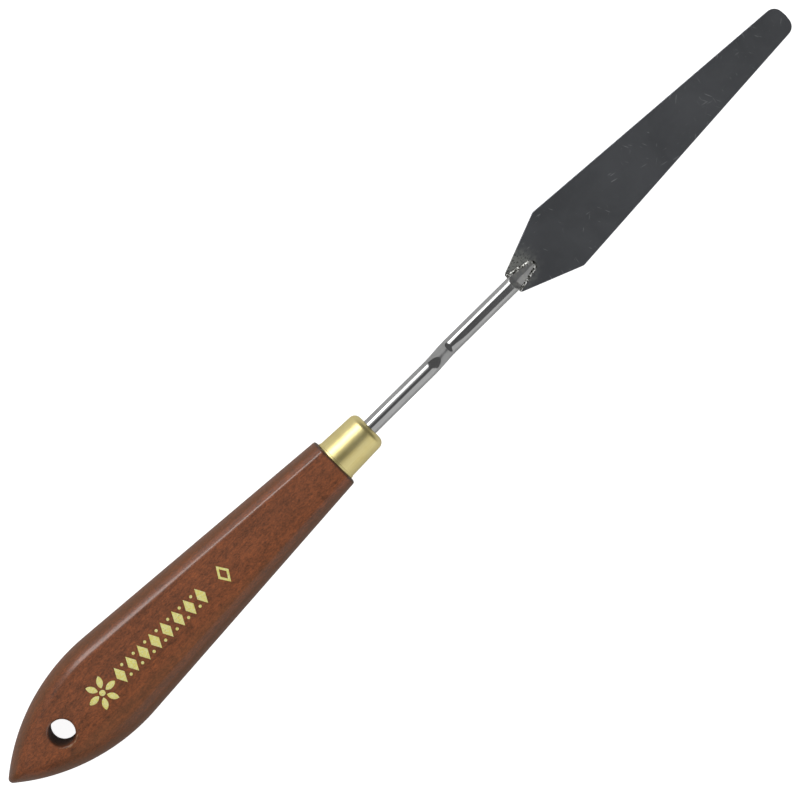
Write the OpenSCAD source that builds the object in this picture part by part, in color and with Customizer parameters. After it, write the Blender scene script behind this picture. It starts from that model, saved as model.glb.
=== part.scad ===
// Palette knife with a cranked, round steel shank and a trowel-shaped spring blade.
// Millimetres. X runs from the butt of the handle to the tip of the blade, Y lies across it and Z
// points out of the stamped face. The origin is on the hang hole's axis, half-way through the wood.

/* [Handle] */
// Length of the wood from the butt to the shoulder that the ferrule meets
handle_len = 91.2; // [75:0.1:115]
// Width of the handle at its widest
handle_w = 20.8; // [17:0.1:26]
// Thickness between the two flat faces
handle_t = 9.8; // [8:0.1:11]
// Distance of the widest place from the butt
widest_at = 27.4; // [22:0.1:34]
// Width of the handle at the shoulder
neck_w = 11.4; // [10:0.1:14]
// Radius of the blunted butt point
butt_r = 0.9; // [0.5:0.1:1.5]
// How far the bulged sides stand out beyond the sharp arrises, seen in cross-section
bulge_rise = 2.79; // [1.5:0.01:3.5]
// How much of the bulge is left at the shoulder
neck_bulge = 0.71; // [0.5:0.01:1]
// Radius that eases the arrises and the shoulder edge
arris_r = 0.45; // [0.2:0.05:0.8]

/* [Hang hole] */
// Diameter of the hang hole
hole_d = 5.7; // [4:0.1:7]
// Distance of the hang hole from the butt
hole_at = 15; // [12:0.1:18]
// Radius that eases both rims of the hang hole
hole_ease = 0.3; // [0.1:0.05:0.6]

/* [Ferrule] */
// Length of the ferrule
ferrule_len = 9.8; // [8:0.1:13]
// Outer diameter of the ferrule against the handle
ferrule_back_d = 9.1; // [8:0.1:9.5]
// Outer diameter of the ferrule before its rounded nose
ferrule_front_d = 8.4; // [7.2:0.1:9]
// Thickness of the drawn brass
ferrule_wall = 0.45; // [0.3:0.05:0.7]
// Outer radius of the rounded nose
nose_r = 1.5; // [0.9:0.1:2]
// Height of the rolled lip against the handle
lip_h = 0.12; // [0.05:0.01:0.2]
// Gap between the tenon and the ferrule
ferrule_gap = 0.04; // [0.02:0.01:0.1]
// Gap between the shank and its hole in the ferrule
shank_gap = 0.08; // [0.04:0.01:0.2]

/* [Shank] */
// Diameter of the shank rod
rod_d = 3.4; // [2.8:0.1:4]
// Length of the tang inside the wood
tang_len = 34; // [20:0.5:50]
// Thickness of the glue round the tang
glue_t = 0.3; // [0.15:0.05:0.5]
// Straight run from the ferrule to the crank
lower_run = 16; // [8:0.1:24]
// Height that the crank drops the blade by
crank_drop = 4.4; // [4:0.1:10]
// Steepness of the crank
crank_angle = 45; // [30:1:60]
// Centre-line radius of both bends of the crank
bend_r = 3.6; // [2.6:0.1:4]
// Straight run from the crank to the heel of the blade
upper_run = 17.4; // [8:0.1:26]
// Length of the forged spear point that laps over the blade
spear_len = 5.6; // [4:0.1:8]
// Width of the spear point's blunt end
spear_tip_w = 1.3; // [0.8:0.1:2]
// Height of the spear point's ridge over the blade, at its end
spear_tip_h = 0.6; // [0.4:0.05:1]
// Sideways fall of the spear point's two facets
facet_angle = 24; // [15:1:35]
// Width of the weld fillet round the spear point
weld_w = 0.5; // [0.3:0.05:0.8]

/* [Blade] */
// Length of the blade from heel to tip
blade_len = 77.3; // [60:0.1:100]
// Width of the blade at its shoulders
blade_w = 15; // [12:0.1:20]
// Width of the blade's heel
heel_w = 4.9; // [4.2:0.1:6]
// Distance of the shoulders from the heel
shoulder_at = 12.9; // [9:0.1:20]
// Width of the blade at its tip, before the corners are rounded
tip_w = 6.1; // [4:0.1:10]
// Radius of the tip's corners
tip_r = 2.2; // [1:0.1:2.4]
// Rise of the tip's slightly bowed end
tip_bow = 0.3; // [0.1:0.05:0.6]
// Radius of the shoulders' corners
shoulder_r = 1.4; // [0.5:0.1:3]
// Radius of the heel's corners
heel_r = 0.7; // [0.3:0.1:1.2]
// Thickness of the blade at the heel
blade_t = 0.5; // [0.4:0.05:0.7]
// Thickness that the blade is ground down to at the tip
blade_tip_t = 0.35; // [0.25:0.05:0.4]

/* [Stamped ornament] */
// Depth of the stamped marks
stamp_depth = 0.15; // [0.1:0.01:0.25]
// Thickness of the foil at the bottom of the marks
foil_t = 0.06; // [0.03:0.01:0.09]
// Distance of the rosette's centre from the butt
rosette_at = 26.3; // [24:0.1:34]
// Diameter of the rosette
rosette_d = 7; // [5:0.1:8]
// Lozenges in the row
lozenge_count = 8; // [4:1:9]
// Distance between neighbouring lozenges
lozenge_pitch = 3.2; // [2.4:0.1:3.6]
// Width of the row of lozenges
row_w = 4; // [2.5:0.1:4.5]

/* [Hidden] */
$fn = 96;

half_w = handle_w / 2;
half_t = handle_t / 2;
rod_r = rod_d / 2;

// The bulge is an arc through both sharp arrises and the widest line at mid-thickness.
bulge_r = (half_t * half_t + bulge_rise * bulge_rise) / (2 * bulge_rise);

// The side of the handle is one arc from the butt point to a straight taper that it is tangent to.
side_arc_r = (pow(widest_at - butt_r, 2) + pow(half_w, 2) - pow(butt_r, 2)) / (2 * (half_w - butt_r));
side_arc_c = [widest_at, half_w - side_arc_r];
neck_corner = [handle_len, neck_w / 2];
neck_reach = neck_corner - side_arc_c;
taper_normal = atan2(neck_reach.y, neck_reach.x) + acos(side_arc_r / norm(neck_reach));

// Steps along each stretch of the handle's outline and up its bulged side
nose_steps = 4;
side_steps = 16;
taper_steps = 6;
corner_steps = 3;
bulge_steps = 12;
arris_steps = 3;
lip_steps = 6;
nose_round_steps = 8;
spear_steps = 8;
plan_steps = 8;

// The tenon stops short of the ferrule's front wall.
tenon_stop = 0.2;
tenon_len = ferrule_len - ferrule_wall - tenon_stop;
ferrule_end = handle_len + ferrule_len;
bore_r = rod_r + glue_t;
tang_start = handle_len - tang_len;
drill_point = bore_r / tan(59);

crank_x = ferrule_end + lower_run;
bend_lap = 2;
bend_swell = 0.01;
bend_fall = bend_r * (1 - cos(crank_angle));
bend_run = bend_r * sin(crank_angle);
slope_len = (crank_drop - 2 * bend_fall) / sin(crank_angle);
crank_len = 2 * bend_run + slope_len * cos(crank_angle);
heel_x = crank_x + crank_len + upper_run;

// The blade lies in a flat on the underside of the rod, flush with the rod's lowest line.
blade_z = -crank_drop - rod_r;
seat_z = blade_z + blade_t;
seat_drop = blade_t - rod_r;

// The facets start spear_back behind the heel, in the last spear_run of the rod.
spear_back = 0.6;
spear_run = 3;
spear_flare = 0.05;
weld_h = 0.28;

hole_margin = 1;
row_start = rosette_at + rosette_d / 2 + lozenge_pitch / 2;
mark_at = row_start + lozenge_count * lozenge_pitch + 3;

function unit(v) = v / norm(v);
function turn(a) = a > 180 ? a - 360 : a < -180 ? a + 360 : a;
function arc(c, r, from, to, steps) =
    [for (i = [0:steps]) let (a = from + (to - from) * i / steps) c + r * [cos(a), sin(a)]];

// The arc of radius r that rounds corner p between its neighbours a and b
function corner(a, p, b, r, steps) =
    let (u = unit(a - p), v = unit(b - p), half = acos(u * v) / 2)
    let (c = p + unit(u + v) * r / sin(half), s = p + u * r / tan(half) - c, e = p + v * r / tan(half) - c)
    let (from = atan2(s.y, s.x), sweep = turn(atan2(e.y, e.x) - from))
    arc(c, r, from, from + sweep, steps);

// A closed outline with a radius of its own at every corner
module rounded(points, radii) {
    n = len(points);
    polygon([for (i = [0:n - 1])
        each corner(points[(i + n - 1) % n], points[i], points[(i + 1) % n], radii[i], plan_steps)]);
}

function mirrored(points) = [for (i = [len(points) - 1:-1:0]) [points[i].x, -points[i].y]];

// How far the shoulder edge is drawn back at height z, to ease it like the arrises
function easing(z) =
    let (over = max(0, abs(z) - half_t + arris_r))
    arris_r - sqrt(max(0, arris_r * arris_r - over * over));

// Upper half of the handle's outline, moved inwards by inset, from the butt point to the shoulder
function handle_side(inset, z) =
    let (r = side_arc_r - inset, nose_c = side_arc_c.x - sqrt(pow(r - butt_r, 2) - pow(side_arc_c.y, 2)))
    let (from = atan2(-side_arc_c.y, nose_c - side_arc_c.x), out = [cos(taper_normal), sin(taper_normal)])
    let (start = side_arc_c + r * out, corner_y = neck_corner.y - inset * neck_bulge / out.y)
    let (stop = [handle_len - easing(z), corner_y], nose = arc([nose_c, 0], butt_r, 180, from, nose_steps))
    let (side = arc(side_arc_c, r, from, taper_normal, side_steps))
    concat(
        [for (i = [0:nose_steps - 1]) nose[i]],
        side,
        [for (i = [1:taper_steps - 1]) start + (stop - start) * i / taper_steps],
        corner(start, stop, [stop.x, 0], arris_r, corner_steps));

// The whole outline at height z; the butt point itself appears once
function handle_ring(inset, z) =
    let (side = handle_side(inset, z), other = mirrored(side))
    [for (p = concat(side, [for (i = [0:len(other) - 2]) other[i]])) [p.x, p.y, z]];

// Cross-section of the bulged side as [inset, height] pairs, from the lower face to the upper one
function side_profile() =
    let (a = asin((half_t - arris_r) / (bulge_r - arris_r)), c = bulge_r - (bulge_r - arris_r) * cos(a))
    let (arris = [for (i = [0:arris_steps - 1]) let (t = 90 - (90 - a) * i / arris_steps)
        [c - arris_r * cos(t), half_t - arris_r + arris_r * sin(t)]])
    let (bulge = [for (i = [0:bulge_steps]) let (t = a - 2 * a * i / bulge_steps)
        [bulge_r * (1 - cos(t)), bulge_r * sin(t)]])
    concat(arris, bulge, [for (i = [arris_steps - 1:-1:0]) [arris[i].x, -arris[i].y]]);

// Skins a stack of rings that have the same number of points, from the top ring down
module skin(rings) {
    n = len(rings[0]);
    last = len(rings) - 1;
    points = [for (ring = rings) each ring];
    top = [for (i = [0:n - 1]) i];
    bottom = [for (i = [n - 1:-1:0]) last * n + i];
    sides = [for (k = [0:last - 1], i = [0:n - 1])
        let (j = (i + 1) % n, u = k * n, v = u + n) each [[u + i, v + i, v + j], [u + i, v + j, u + j]]];
    polyhedron(points, concat([top, bottom], sides), convexity = 6);
}

// Everything below is modelled with x measured from the butt, and this moves it to the hang hole.
module placed() {
    translate([-hole_at, 0, 0]) children();
}

module along_x(x) {
    translate([x, 0, 0]) rotate([0, 90, 0]) children();
}

// The wood's bore for the tang, with the cone that a drill leaves at its end
module tang_bore(past) {
    along_x(tang_start) cylinder(h = tang_len + tenon_len + past, r = bore_r);
    along_x(tang_start - drill_point) cylinder(h = drill_point, r1 = 0, r2 = bore_r);
}

// The drilled hole, opening out over the eased rim at each face
module hang_hole() {
    mouth_r = hole_d / 2 + hole_ease;
    rim = arc([mouth_r, half_t - hole_ease], hole_ease, 180, 90, arris_steps);
    half = concat(rim, [[mouth_r, half_t + hole_margin], [0, half_t + hole_margin]]);
    rotate_extrude() polygon(concat(half, [for (i = [len(half) - 1:-1:0]) [half[i].x, -half[i].y]]));
}

module handle() {
    color("#7b4330") placed() difference() {
        union() {
            skin([for (p = side_profile()) handle_ring(p.x, p.y)]);
            tenon();
        }
        translate([hole_at, 0, 0]) hang_hole();
        tang_bore(1);
        translate([0, 0, half_t - stamp_depth]) linear_extrude(1) ornament();
    }
}

// Outer radius of the ferrule at distance x from the shoulder
function ferrule_r(x) = (ferrule_back_d + (ferrule_front_d - ferrule_back_d) * x / ferrule_len) / 2;

// The tapered end of the wood inside the ferrule, eased to clear the rounded nose; its root runs on
// into the handle
module tenon() {
    shrink = ferrule_wall + ferrule_gap;
    root = [ferrule_r(-1) - shrink, -1];
    end = [ferrule_r(tenon_len) - shrink, tenon_len];
    eased = corner(root, end, [0, end.y], nose_r, nose_round_steps);
    along_x(handle_len) rotate_extrude() polygon(concat([[0, root.y], root], eased, [[0, end.y]]));
}

// A drawn cap: rolled lip against the wood, slight taper, rounded nose and a hole for the shank
module ferrule() {
    hole_r = rod_r + shank_gap;
    back_r = ferrule_r(0);
    front_r = ferrule_r(ferrule_len);
    inner_x = ferrule_len - ferrule_wall;
    lip = arc([back_r, lip_h], lip_h, -90, 90, lip_steps);
    outside = corner([back_r, 0], [front_r, ferrule_len], [0, ferrule_len], nose_r, nose_round_steps);
    inside = corner([0, inner_x], [front_r - ferrule_wall, inner_x], [back_r - ferrule_wall, 0],
        nose_r - ferrule_wall, nose_round_steps);
    mouth = [[back_r - ferrule_wall, 0]];
    hole = [[hole_r, ferrule_len], [hole_r, inner_x]];
    color("#d9c67c") placed() along_x(handle_len) rotate_extrude()
        polygon(concat(mouth, lip, outside, hole, inside));
}

// The shank is a chain along X: each of its modules puts what follows it at its own end.
module run(length) {
    along_x(0) cylinder(h = length, r = rod_r);
    translate([length, 0, 0]) children();
}

// A bend laps a little over the runs beside it and is a hair thicker, so each run ends inside it.
module bend_down() {
    translate([0, 0, -bend_r]) {
        rotate([-90, 0, 0]) rotate([0, 0, -90 - bend_lap]) rotate_extrude(angle = crank_angle + 2 * bend_lap)
            translate([bend_r, 0]) circle(rod_r + bend_swell);
        rotate([0, crank_angle, 0]) translate([0, 0, bend_r]) children();
    }
}

module bend_up() {
    mirror([0, 0, 1]) bend_down() mirror([0, 0, 1]) children();
}

// Plan of the spear point grown by margin, with x from the heel of the blade
module spear_plan(margin) {
    tip_c = [spear_len - spear_tip_w / 2, 0];
    root = [-spear_back, rod_r + spear_flare];
    tip_round = spear_tip_w / 2 + margin;
    side = tip_c - root;
    lean = atan2(side.y, side.x) + asin((spear_tip_w / 2) / norm(side));
    grown = root + margin * [-sin(lean), cos(lean)];
    start = [-spear_run - 1, grown.y];
    upper = concat([start, grown], arc(tip_c, tip_round, 90 + lean, 0, spear_steps));
    polygon(concat(upper, [for (i = [len(upper) - 2:-1:0]) [upper[i].x, -upper[i].y]]));
}

// Everything under two facets that meet in a ridge, which falls from the rod's top to the point
module under_facets() {
    half_span = 2 * rod_r;
    edge = -half_span * tan(facet_angle);
    ridge_fall = atan2(rod_r - (seat_drop + spear_tip_h), spear_len + spear_back);
    translate([-spear_back, 0, rod_r]) rotate([0, ridge_fall, 0]) translate([-2 * spear_run, 0, 0])
        rotate([90, 0, 90]) linear_extrude(4 * spear_run + spear_len)
            polygon([[0, 0], [half_span, edge], [half_span, -8 * rod_r], [-half_span, -8 * rod_r],
                [-half_span, edge]]);
}

// The forged end of the rod, about its own axis: a tapering point on a flat that takes the blade
module spear() {
    intersection() {
        under_facets();
        union() {
            difference() {
                along_x(-spear_run) cylinder(h = spear_run + spear_len, r = rod_r);
                translate([0, -rod_d, seat_drop - rod_d]) cube([spear_len + 1, 2 * rod_d, rod_d]);
            }
            translate([0, -rod_d, seat_drop]) cube([spear_len + 1, 2 * rod_d, -seat_drop]);
        }
        translate([0, 0, -rod_d]) linear_extrude(2 * rod_d) spear_plan(0);
    }
}

module shank() {
    color("#9c9da0") placed() translate([tang_start, 0, 0])
        run(crank_x - tang_start) bend_down() run(slope_len) bend_up() run(upper_run - spear_run)
            translate([spear_run, 0, 0]) spear();
}

// Outline of the blade, with x from its heel
module blade_plan() {
    half_heel = heel_w / 2;
    half_blade = blade_w / 2;
    half_tip = tip_w / 2;
    corner_x = blade_len - tip_bow;
    rounded(
        [[0, -half_heel], [shoulder_at, -half_blade], [corner_x, -half_tip], [blade_len, 0],
            [corner_x, half_tip], [shoulder_at, half_blade], [0, half_heel]],
        [heel_r, shoulder_r, tip_r, tip_w, tip_r, shoulder_r, heel_r]);
}

// Spring sheet, full thickness under the shank and ground thinner towards the tip
module blade() {
    full = spear_len + weld_w + 2;
    beyond = blade_len + 1;
    color("#46484a") placed() translate([heel_x, 0, blade_z]) intersection() {
        linear_extrude(2 * blade_t) blade_plan();
        translate([0, blade_w, 0]) rotate([90, 0, 0]) linear_extrude(2 * blade_w)
            polygon([[-1, 0], [beyond, 0], [beyond, blade_tip_t], [full, blade_t], [-1, blade_t]]);
    }
}

// Sloping bead that closes the joint between the spear point and the blade
module weld_fillet() {
    color("#6e6f70") placed() translate([heel_x, 0, seat_z]) difference() {
        intersection() {
            hull() {
                linear_extrude(0.02) spear_plan(weld_w);
                linear_extrude(weld_h) spear_plan(0.05);
            }
            translate([0, -rod_d, 0]) cube([spear_len + 2, 2 * rod_d, 1]);
        }
        translate([0, 0, -1]) linear_extrude(3) spear_plan(0);
    }
}

// Cured glue that fills the bore round and behind the tang
module tang_glue() {
    color("#b9a06a") placed() difference() {
        tang_bore(0);
        along_x(tang_start) cylinder(h = tang_len + ferrule_len, r = rod_r);
    }
}

// Pointed petal of length l and width w, lying along X and centred
module petal(l, w) {
    r = (l * l + w * w) / (4 * w);
    intersection() {
        translate([0, r - w / 2]) circle(r);
        translate([0, w / 2 - r]) circle(r);
    }
}

module lozenge(l, w) {
    polygon([[-l / 2, 0], [0, -w / 2], [l / 2, 0], [0, w / 2]]);
}

// Six petals round a dot
module rosette() {
    petal_len = 0.37 * rosette_d;
    circle(rosette_d / 11);
    for (i = [0:5]) rotate(60 * i) translate([(rosette_d - petal_len) / 2, 0]) petal(petal_len, petal_len / 2);
}

// Plan of the stamped marks: a rosette, a row of lozenges with dots between them and an open lozenge
module ornament() {
    translate([rosette_at, 0]) rosette();
    for (i = [0:lozenge_count - 1]) translate([row_start + i * lozenge_pitch, 0])
        lozenge(0.66 * lozenge_pitch, row_w);
    for (i = [0:lozenge_count - 2], side = [-1, 1])
        translate([row_start + (i + 0.5) * lozenge_pitch, side * row_w / 3]) circle(row_w / 12);
    translate([mark_at, 0]) difference() {
        lozenge(0.7 * row_w, 1.1 * row_w);
        lozenge(0.4 * row_w, 0.65 * row_w);
    }
}

// Foil pressed into the bottom of the stamped marks
module foil_stamp() {
    color("#e0cf6a") placed() translate([0, 0, half_t - stamp_depth]) linear_extrude(foil_t) ornament();
}

handle();
ferrule();
shank();
blade();
weld_fillet();
tang_glue();
foil_stamp();
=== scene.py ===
"""Looks of a palette knife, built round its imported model.

Sizes are given in millimetres and turned into metres where a mesh is made.  X runs from the butt
of the handle to the tip of the blade, Y lies across the knife and Z points out of its stamped face.
The origin is on the hang hole's axis, half-way through the wood.
"""

import logging
import math
from dataclasses import dataclass
from enum import Enum
from typing import Any, Callable, Dict, List, Optional, Sequence, Tuple

import bmesh
import bpy
from mathutils import Matrix, Vector, noise


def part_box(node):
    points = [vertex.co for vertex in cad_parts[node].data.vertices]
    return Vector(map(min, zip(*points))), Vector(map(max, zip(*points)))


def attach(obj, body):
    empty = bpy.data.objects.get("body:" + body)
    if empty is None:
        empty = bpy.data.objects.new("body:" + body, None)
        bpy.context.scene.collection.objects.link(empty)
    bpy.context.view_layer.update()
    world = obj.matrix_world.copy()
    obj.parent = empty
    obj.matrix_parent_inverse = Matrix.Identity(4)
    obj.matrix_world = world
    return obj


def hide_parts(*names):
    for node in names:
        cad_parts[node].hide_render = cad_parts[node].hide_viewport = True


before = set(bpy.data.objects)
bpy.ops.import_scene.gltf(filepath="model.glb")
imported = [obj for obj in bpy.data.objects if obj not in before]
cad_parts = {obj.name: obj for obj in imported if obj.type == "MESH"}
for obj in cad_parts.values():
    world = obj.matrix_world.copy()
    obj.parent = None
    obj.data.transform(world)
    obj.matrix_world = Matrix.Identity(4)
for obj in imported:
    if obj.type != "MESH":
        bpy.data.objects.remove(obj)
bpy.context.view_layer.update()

log = logging.getLogger("palette_knife")

MM = 0.001
# How far, in millimetres, a cutter reaches past what it cuts.
CLEAR = 1.0
# Points nearer than this, in millimetres, are one point.
TOUCHING = 1e-5
# A face is level where the upright part of its normal is more than this.
LEVEL = 0.99999
Point = Tuple[float, float]
Colour = Tuple[float, float, float]
AHEAD, ACROSS, UP = Vector((1.0, 0.0, 0.0)), Vector((0.0, 1.0, 0.0)), Vector((0.0, 0.0, 1.0))


class Slot(Enum):
    """The record's finishes that the new pieces take."""

    WOOD = "lacquered_wood"
    BRASS = "ferrule_brass"
    STEEL = "polished_steel"
    BLADE = "blade_steel"
    WELD = "weld_steel"
    FOIL = "gold_foil"


class Combine(Enum):
    """What is done with two closed meshes."""

    CARVE = "DIFFERENCE"
    UNITE = "UNION"


# --- Mesh tools ---------------------------------------------------------------------------------


class Pen:
    """Draws a chain of points in the XY plane of a bmesh, one stroke after another."""

    def __init__(self, bm: bmesh.types.BMesh, start: Point) -> None:
        """Puts the pen down at start, in millimetres.

        Args:
            bm: The mesh to draw in.
            start: The first point, in millimetres.
        """
        self.bm = bm
        self.older = set(bm.verts)
        self.first = self.tip = bm.verts.new((start[0], start[1], 0.0))

    def line(self, end: Point, steps: int = 1) -> None:
        """Draws a straight stroke.

        Args:
            end: Where the stroke ends.
            steps: How many equal edges it has.
        """
        move = (Vector((end[0], end[1], 0.0)) - self.tip.co) / steps
        for _ in range(steps):
            self.tip = bmesh.ops.extrude_vert_indiv(self.bm, verts=[self.tip])["verts"][0]
            bmesh.ops.translate(self.bm, verts=[self.tip], vec=move)

    def arc(self, centre: Point, degrees: float, steps: int) -> None:
        """Draws an arc about centre, anticlockwise where degrees is positive.

        Args:
            centre: The arc's centre.
            degrees: The angle that the arc covers.
            steps: How many equal edges it has.
        """
        swept = bmesh.ops.spin(
            self.bm, geom=[self.tip], cent=(centre[0], centre[1], 0.0), axis=UP,
            angle=math.radians(degrees), steps=steps, use_duplicate=False)
        self.tip = swept["geom_last"][0]

    def round_corner(self, corner: Point, after: Point, radius: float, steps: int,
                     run_steps: int = 1) -> None:
        """Draws a line towards corner and rounds it off towards after.

        Args:
            corner: The sharp corner.
            after: A point on the stroke that follows.
            radius: The corner's radius.
            steps: How many edges the rounding has.
            run_steps: How many edges the straight line before it has.
        """
        sharp = Vector(corner)
        back = (Vector(self.tip.co[:2]) - sharp).normalized()
        ahead = (Vector(after) - sharp).normalized()
        half = back.angle(ahead) / 2.0
        start = sharp + back * radius / math.tan(half)
        centre = sharp + (back + ahead).normalized() * radius / math.sin(half)
        turn = 180.0 - 2.0 * math.degrees(half)
        side = math.copysign(1.0, back.x * ahead.y - back.y * ahead.x)
        self.line((start.x, start.y), run_steps)
        self.arc((centre.x, centre.y), -side * turn, steps)

    def strokes(self) -> Tuple[List[bmesh.types.BMVert], List[bmesh.types.BMEdge]]:
        """Returns the points and edges drawn since the pen was put down."""
        verts = [v for v in self.bm.verts if v not in self.older]
        return verts, linked_edges(verts)

    def close(self) -> bmesh.types.BMFace:
        """Joins the last point to the first one and fills the outline.

        Returns:
            The new face.
        """
        if (self.tip.co - self.first.co).length < TOUCHING:
            bmesh.ops.weld_verts(self.bm, targetmap={self.tip: self.first})
        else:
            self.bm.edges.new((self.tip, self.first))
        return bmesh.ops.contextual_create(self.bm, geom=self.strokes()[1])["faces"][0]


def linked_edges(verts: Sequence[bmesh.types.BMVert]) -> List[bmesh.types.BMEdge]:
    """Returns every edge that meets one of the points, each once and in a steady order."""
    return list(dict.fromkeys(e for v in verts for e in v.link_edges))


def both_sides(pen: Pen) -> List[bmesh.types.BMEdge]:
    """Mirrors the half outline that a pen drew across the X axis, and joins the halves.

    Args:
        pen: The pen, whose first and last points are on the axis.

    Returns:
        The edges of the whole loop.
    """
    verts, edges = pen.strokes()
    mirrored = bmesh.ops.duplicate(pen.bm, geom=verts + edges)["geom"]
    other = [v for v in mirrored if isinstance(v, bmesh.types.BMVert)]
    bmesh.ops.scale(pen.bm, verts=other, vec=(1.0, -1.0, 1.0))
    bmesh.ops.remove_doubles(pen.bm, verts=verts + other, dist=TOUCHING)
    return pen.strokes()[1]


def turn_round(bm: bmesh.types.BMesh, pen: Pen, facets: int, axis: Vector) -> None:
    """Spins the outline that a pen drew into a closed solid.

    Args:
        bm: The mesh that the pen drew in.
        pen: The pen.
        facets: How many facets go round.
        axis: The direction of the axis, which passes through the origin.
    """
    verts, edges = pen.strokes()
    bmesh.ops.spin(bm, geom=verts + edges, cent=(0.0, 0.0, 0.0), axis=axis,
                   angle=2.0 * math.pi, steps=facets, use_merge=True)
    bmesh.ops.remove_doubles(bm, verts=bm.verts, dist=TOUCHING)
    bmesh.ops.recalc_face_normals(bm, faces=bm.faces)


def raise_faces(bm: bmesh.types.BMesh, faces: Sequence[bmesh.types.BMFace], height: float) -> None:
    """Extrudes flat faces into closed solids along Z.

    Args:
        bm: The mesh.
        faces: The faces, which stay as the floors of the solids.
        height: How high the solids are.
    """
    grown = bmesh.ops.extrude_face_region(bm, geom=list(faces), use_keep_orig=True)["geom"]
    tops = [v for v in grown if isinstance(v, bmesh.types.BMVert)]
    bmesh.ops.translate(bm, verts=tops, vec=(0.0, 0.0, height))
    bmesh.ops.recalc_face_normals(bm, faces=bm.faces)


def face_edges(edges: Sequence[bmesh.types.BMEdge], least: float) -> List[bmesh.types.BMEdge]:
    """Returns the edges where two faces meet at more than least degrees."""
    return [e for e in edges if e.is_valid and len(e.link_faces) == 2
            and e.calc_face_angle(0.0) > math.radians(least)]


def ease(bm: bmesh.types.BMesh, edges: Sequence[bmesh.types.BMEdge], radius: float,
         segments: int = 3) -> None:
    """Rounds edges off with a bevel."""
    bmesh.ops.bevel(bm, geom=list(edges), offset=radius, offset_type="OFFSET", segments=segments,
                    profile=0.5, affect="EDGES", clamp_overlap=True, material=-1)


def finish_mesh(bm: bmesh.types.BMesh, name: str, offset_x: float = 0.0,
                sharp: float = 35.0) -> bpy.types.Object:
    """Turns a bmesh in millimetres into an object in metres.

    Args:
        bm: The mesh, which is freed.
        name: The new object's name.
        offset_x: How far along X the mesh is moved, in metres.
        sharp: Edges steeper than this many degrees stay sharp.

    Returns:
        The object, which sits at the origin.
    """
    bmesh.ops.scale(bm, verts=bm.verts, vec=(MM, MM, MM))
    bmesh.ops.translate(bm, verts=bm.verts, vec=(offset_x, 0.0, 0.0))
    mesh = bpy.data.meshes.new(name)
    bm.to_mesh(mesh)
    bm.free()
    for polygon in mesh.polygons:
        polygon.use_smooth = True
    mesh.set_sharp_from_angle(angle=math.radians(sharp))
    piece = bpy.data.objects.new(name, mesh)
    bpy.context.scene.collection.objects.link(piece)
    return piece


def combine(piece: bpy.types.Object, other: bpy.types.Object, how: Combine) -> None:
    """Cuts other out of piece, or unites the two, for good.

    Args:
        piece: The piece, which gets the result.
        other: The other mesh, which is removed.
        how: What is done with the two.
    """
    step = piece.modifiers.new("combine", "BOOLEAN")
    step.operation = how.value
    step.solver = "EXACT"
    step.object = other
    bake_modifiers(piece)
    bpy.data.objects.remove(other)


def bake_modifiers(piece: bpy.types.Object) -> None:
    """Replaces a piece's mesh with what its modifiers make of it.

    Args:
        piece: The piece.
    """
    shown = piece.evaluated_get(bpy.context.evaluated_depsgraph_get())
    mesh = bpy.data.meshes.new_from_object(shown)
    piece.modifiers.clear()
    piece.data = mesh


def flatten_faces(piece: bpy.types.Object) -> None:
    """Shades the level faces of a piece flat, so that no rounding beside them tints them.

    Args:
        piece: The piece.
    """
    for polygon in piece.data.polygons:
        if abs(polygon.normal.z) > LEVEL:
            polygon.use_smooth = False


def weight_normals(piece: bpy.types.Object) -> None:
    """Lets the large faces of a piece set the normals at its eased edges.

    Args:
        piece: The piece.
    """
    weighted = piece.modifiers.new("weighted_normals", "WEIGHTED_NORMAL")
    weighted.keep_sharp = True
    weighted.weight = 90


# --- Node tools ---------------------------------------------------------------------------------


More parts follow.
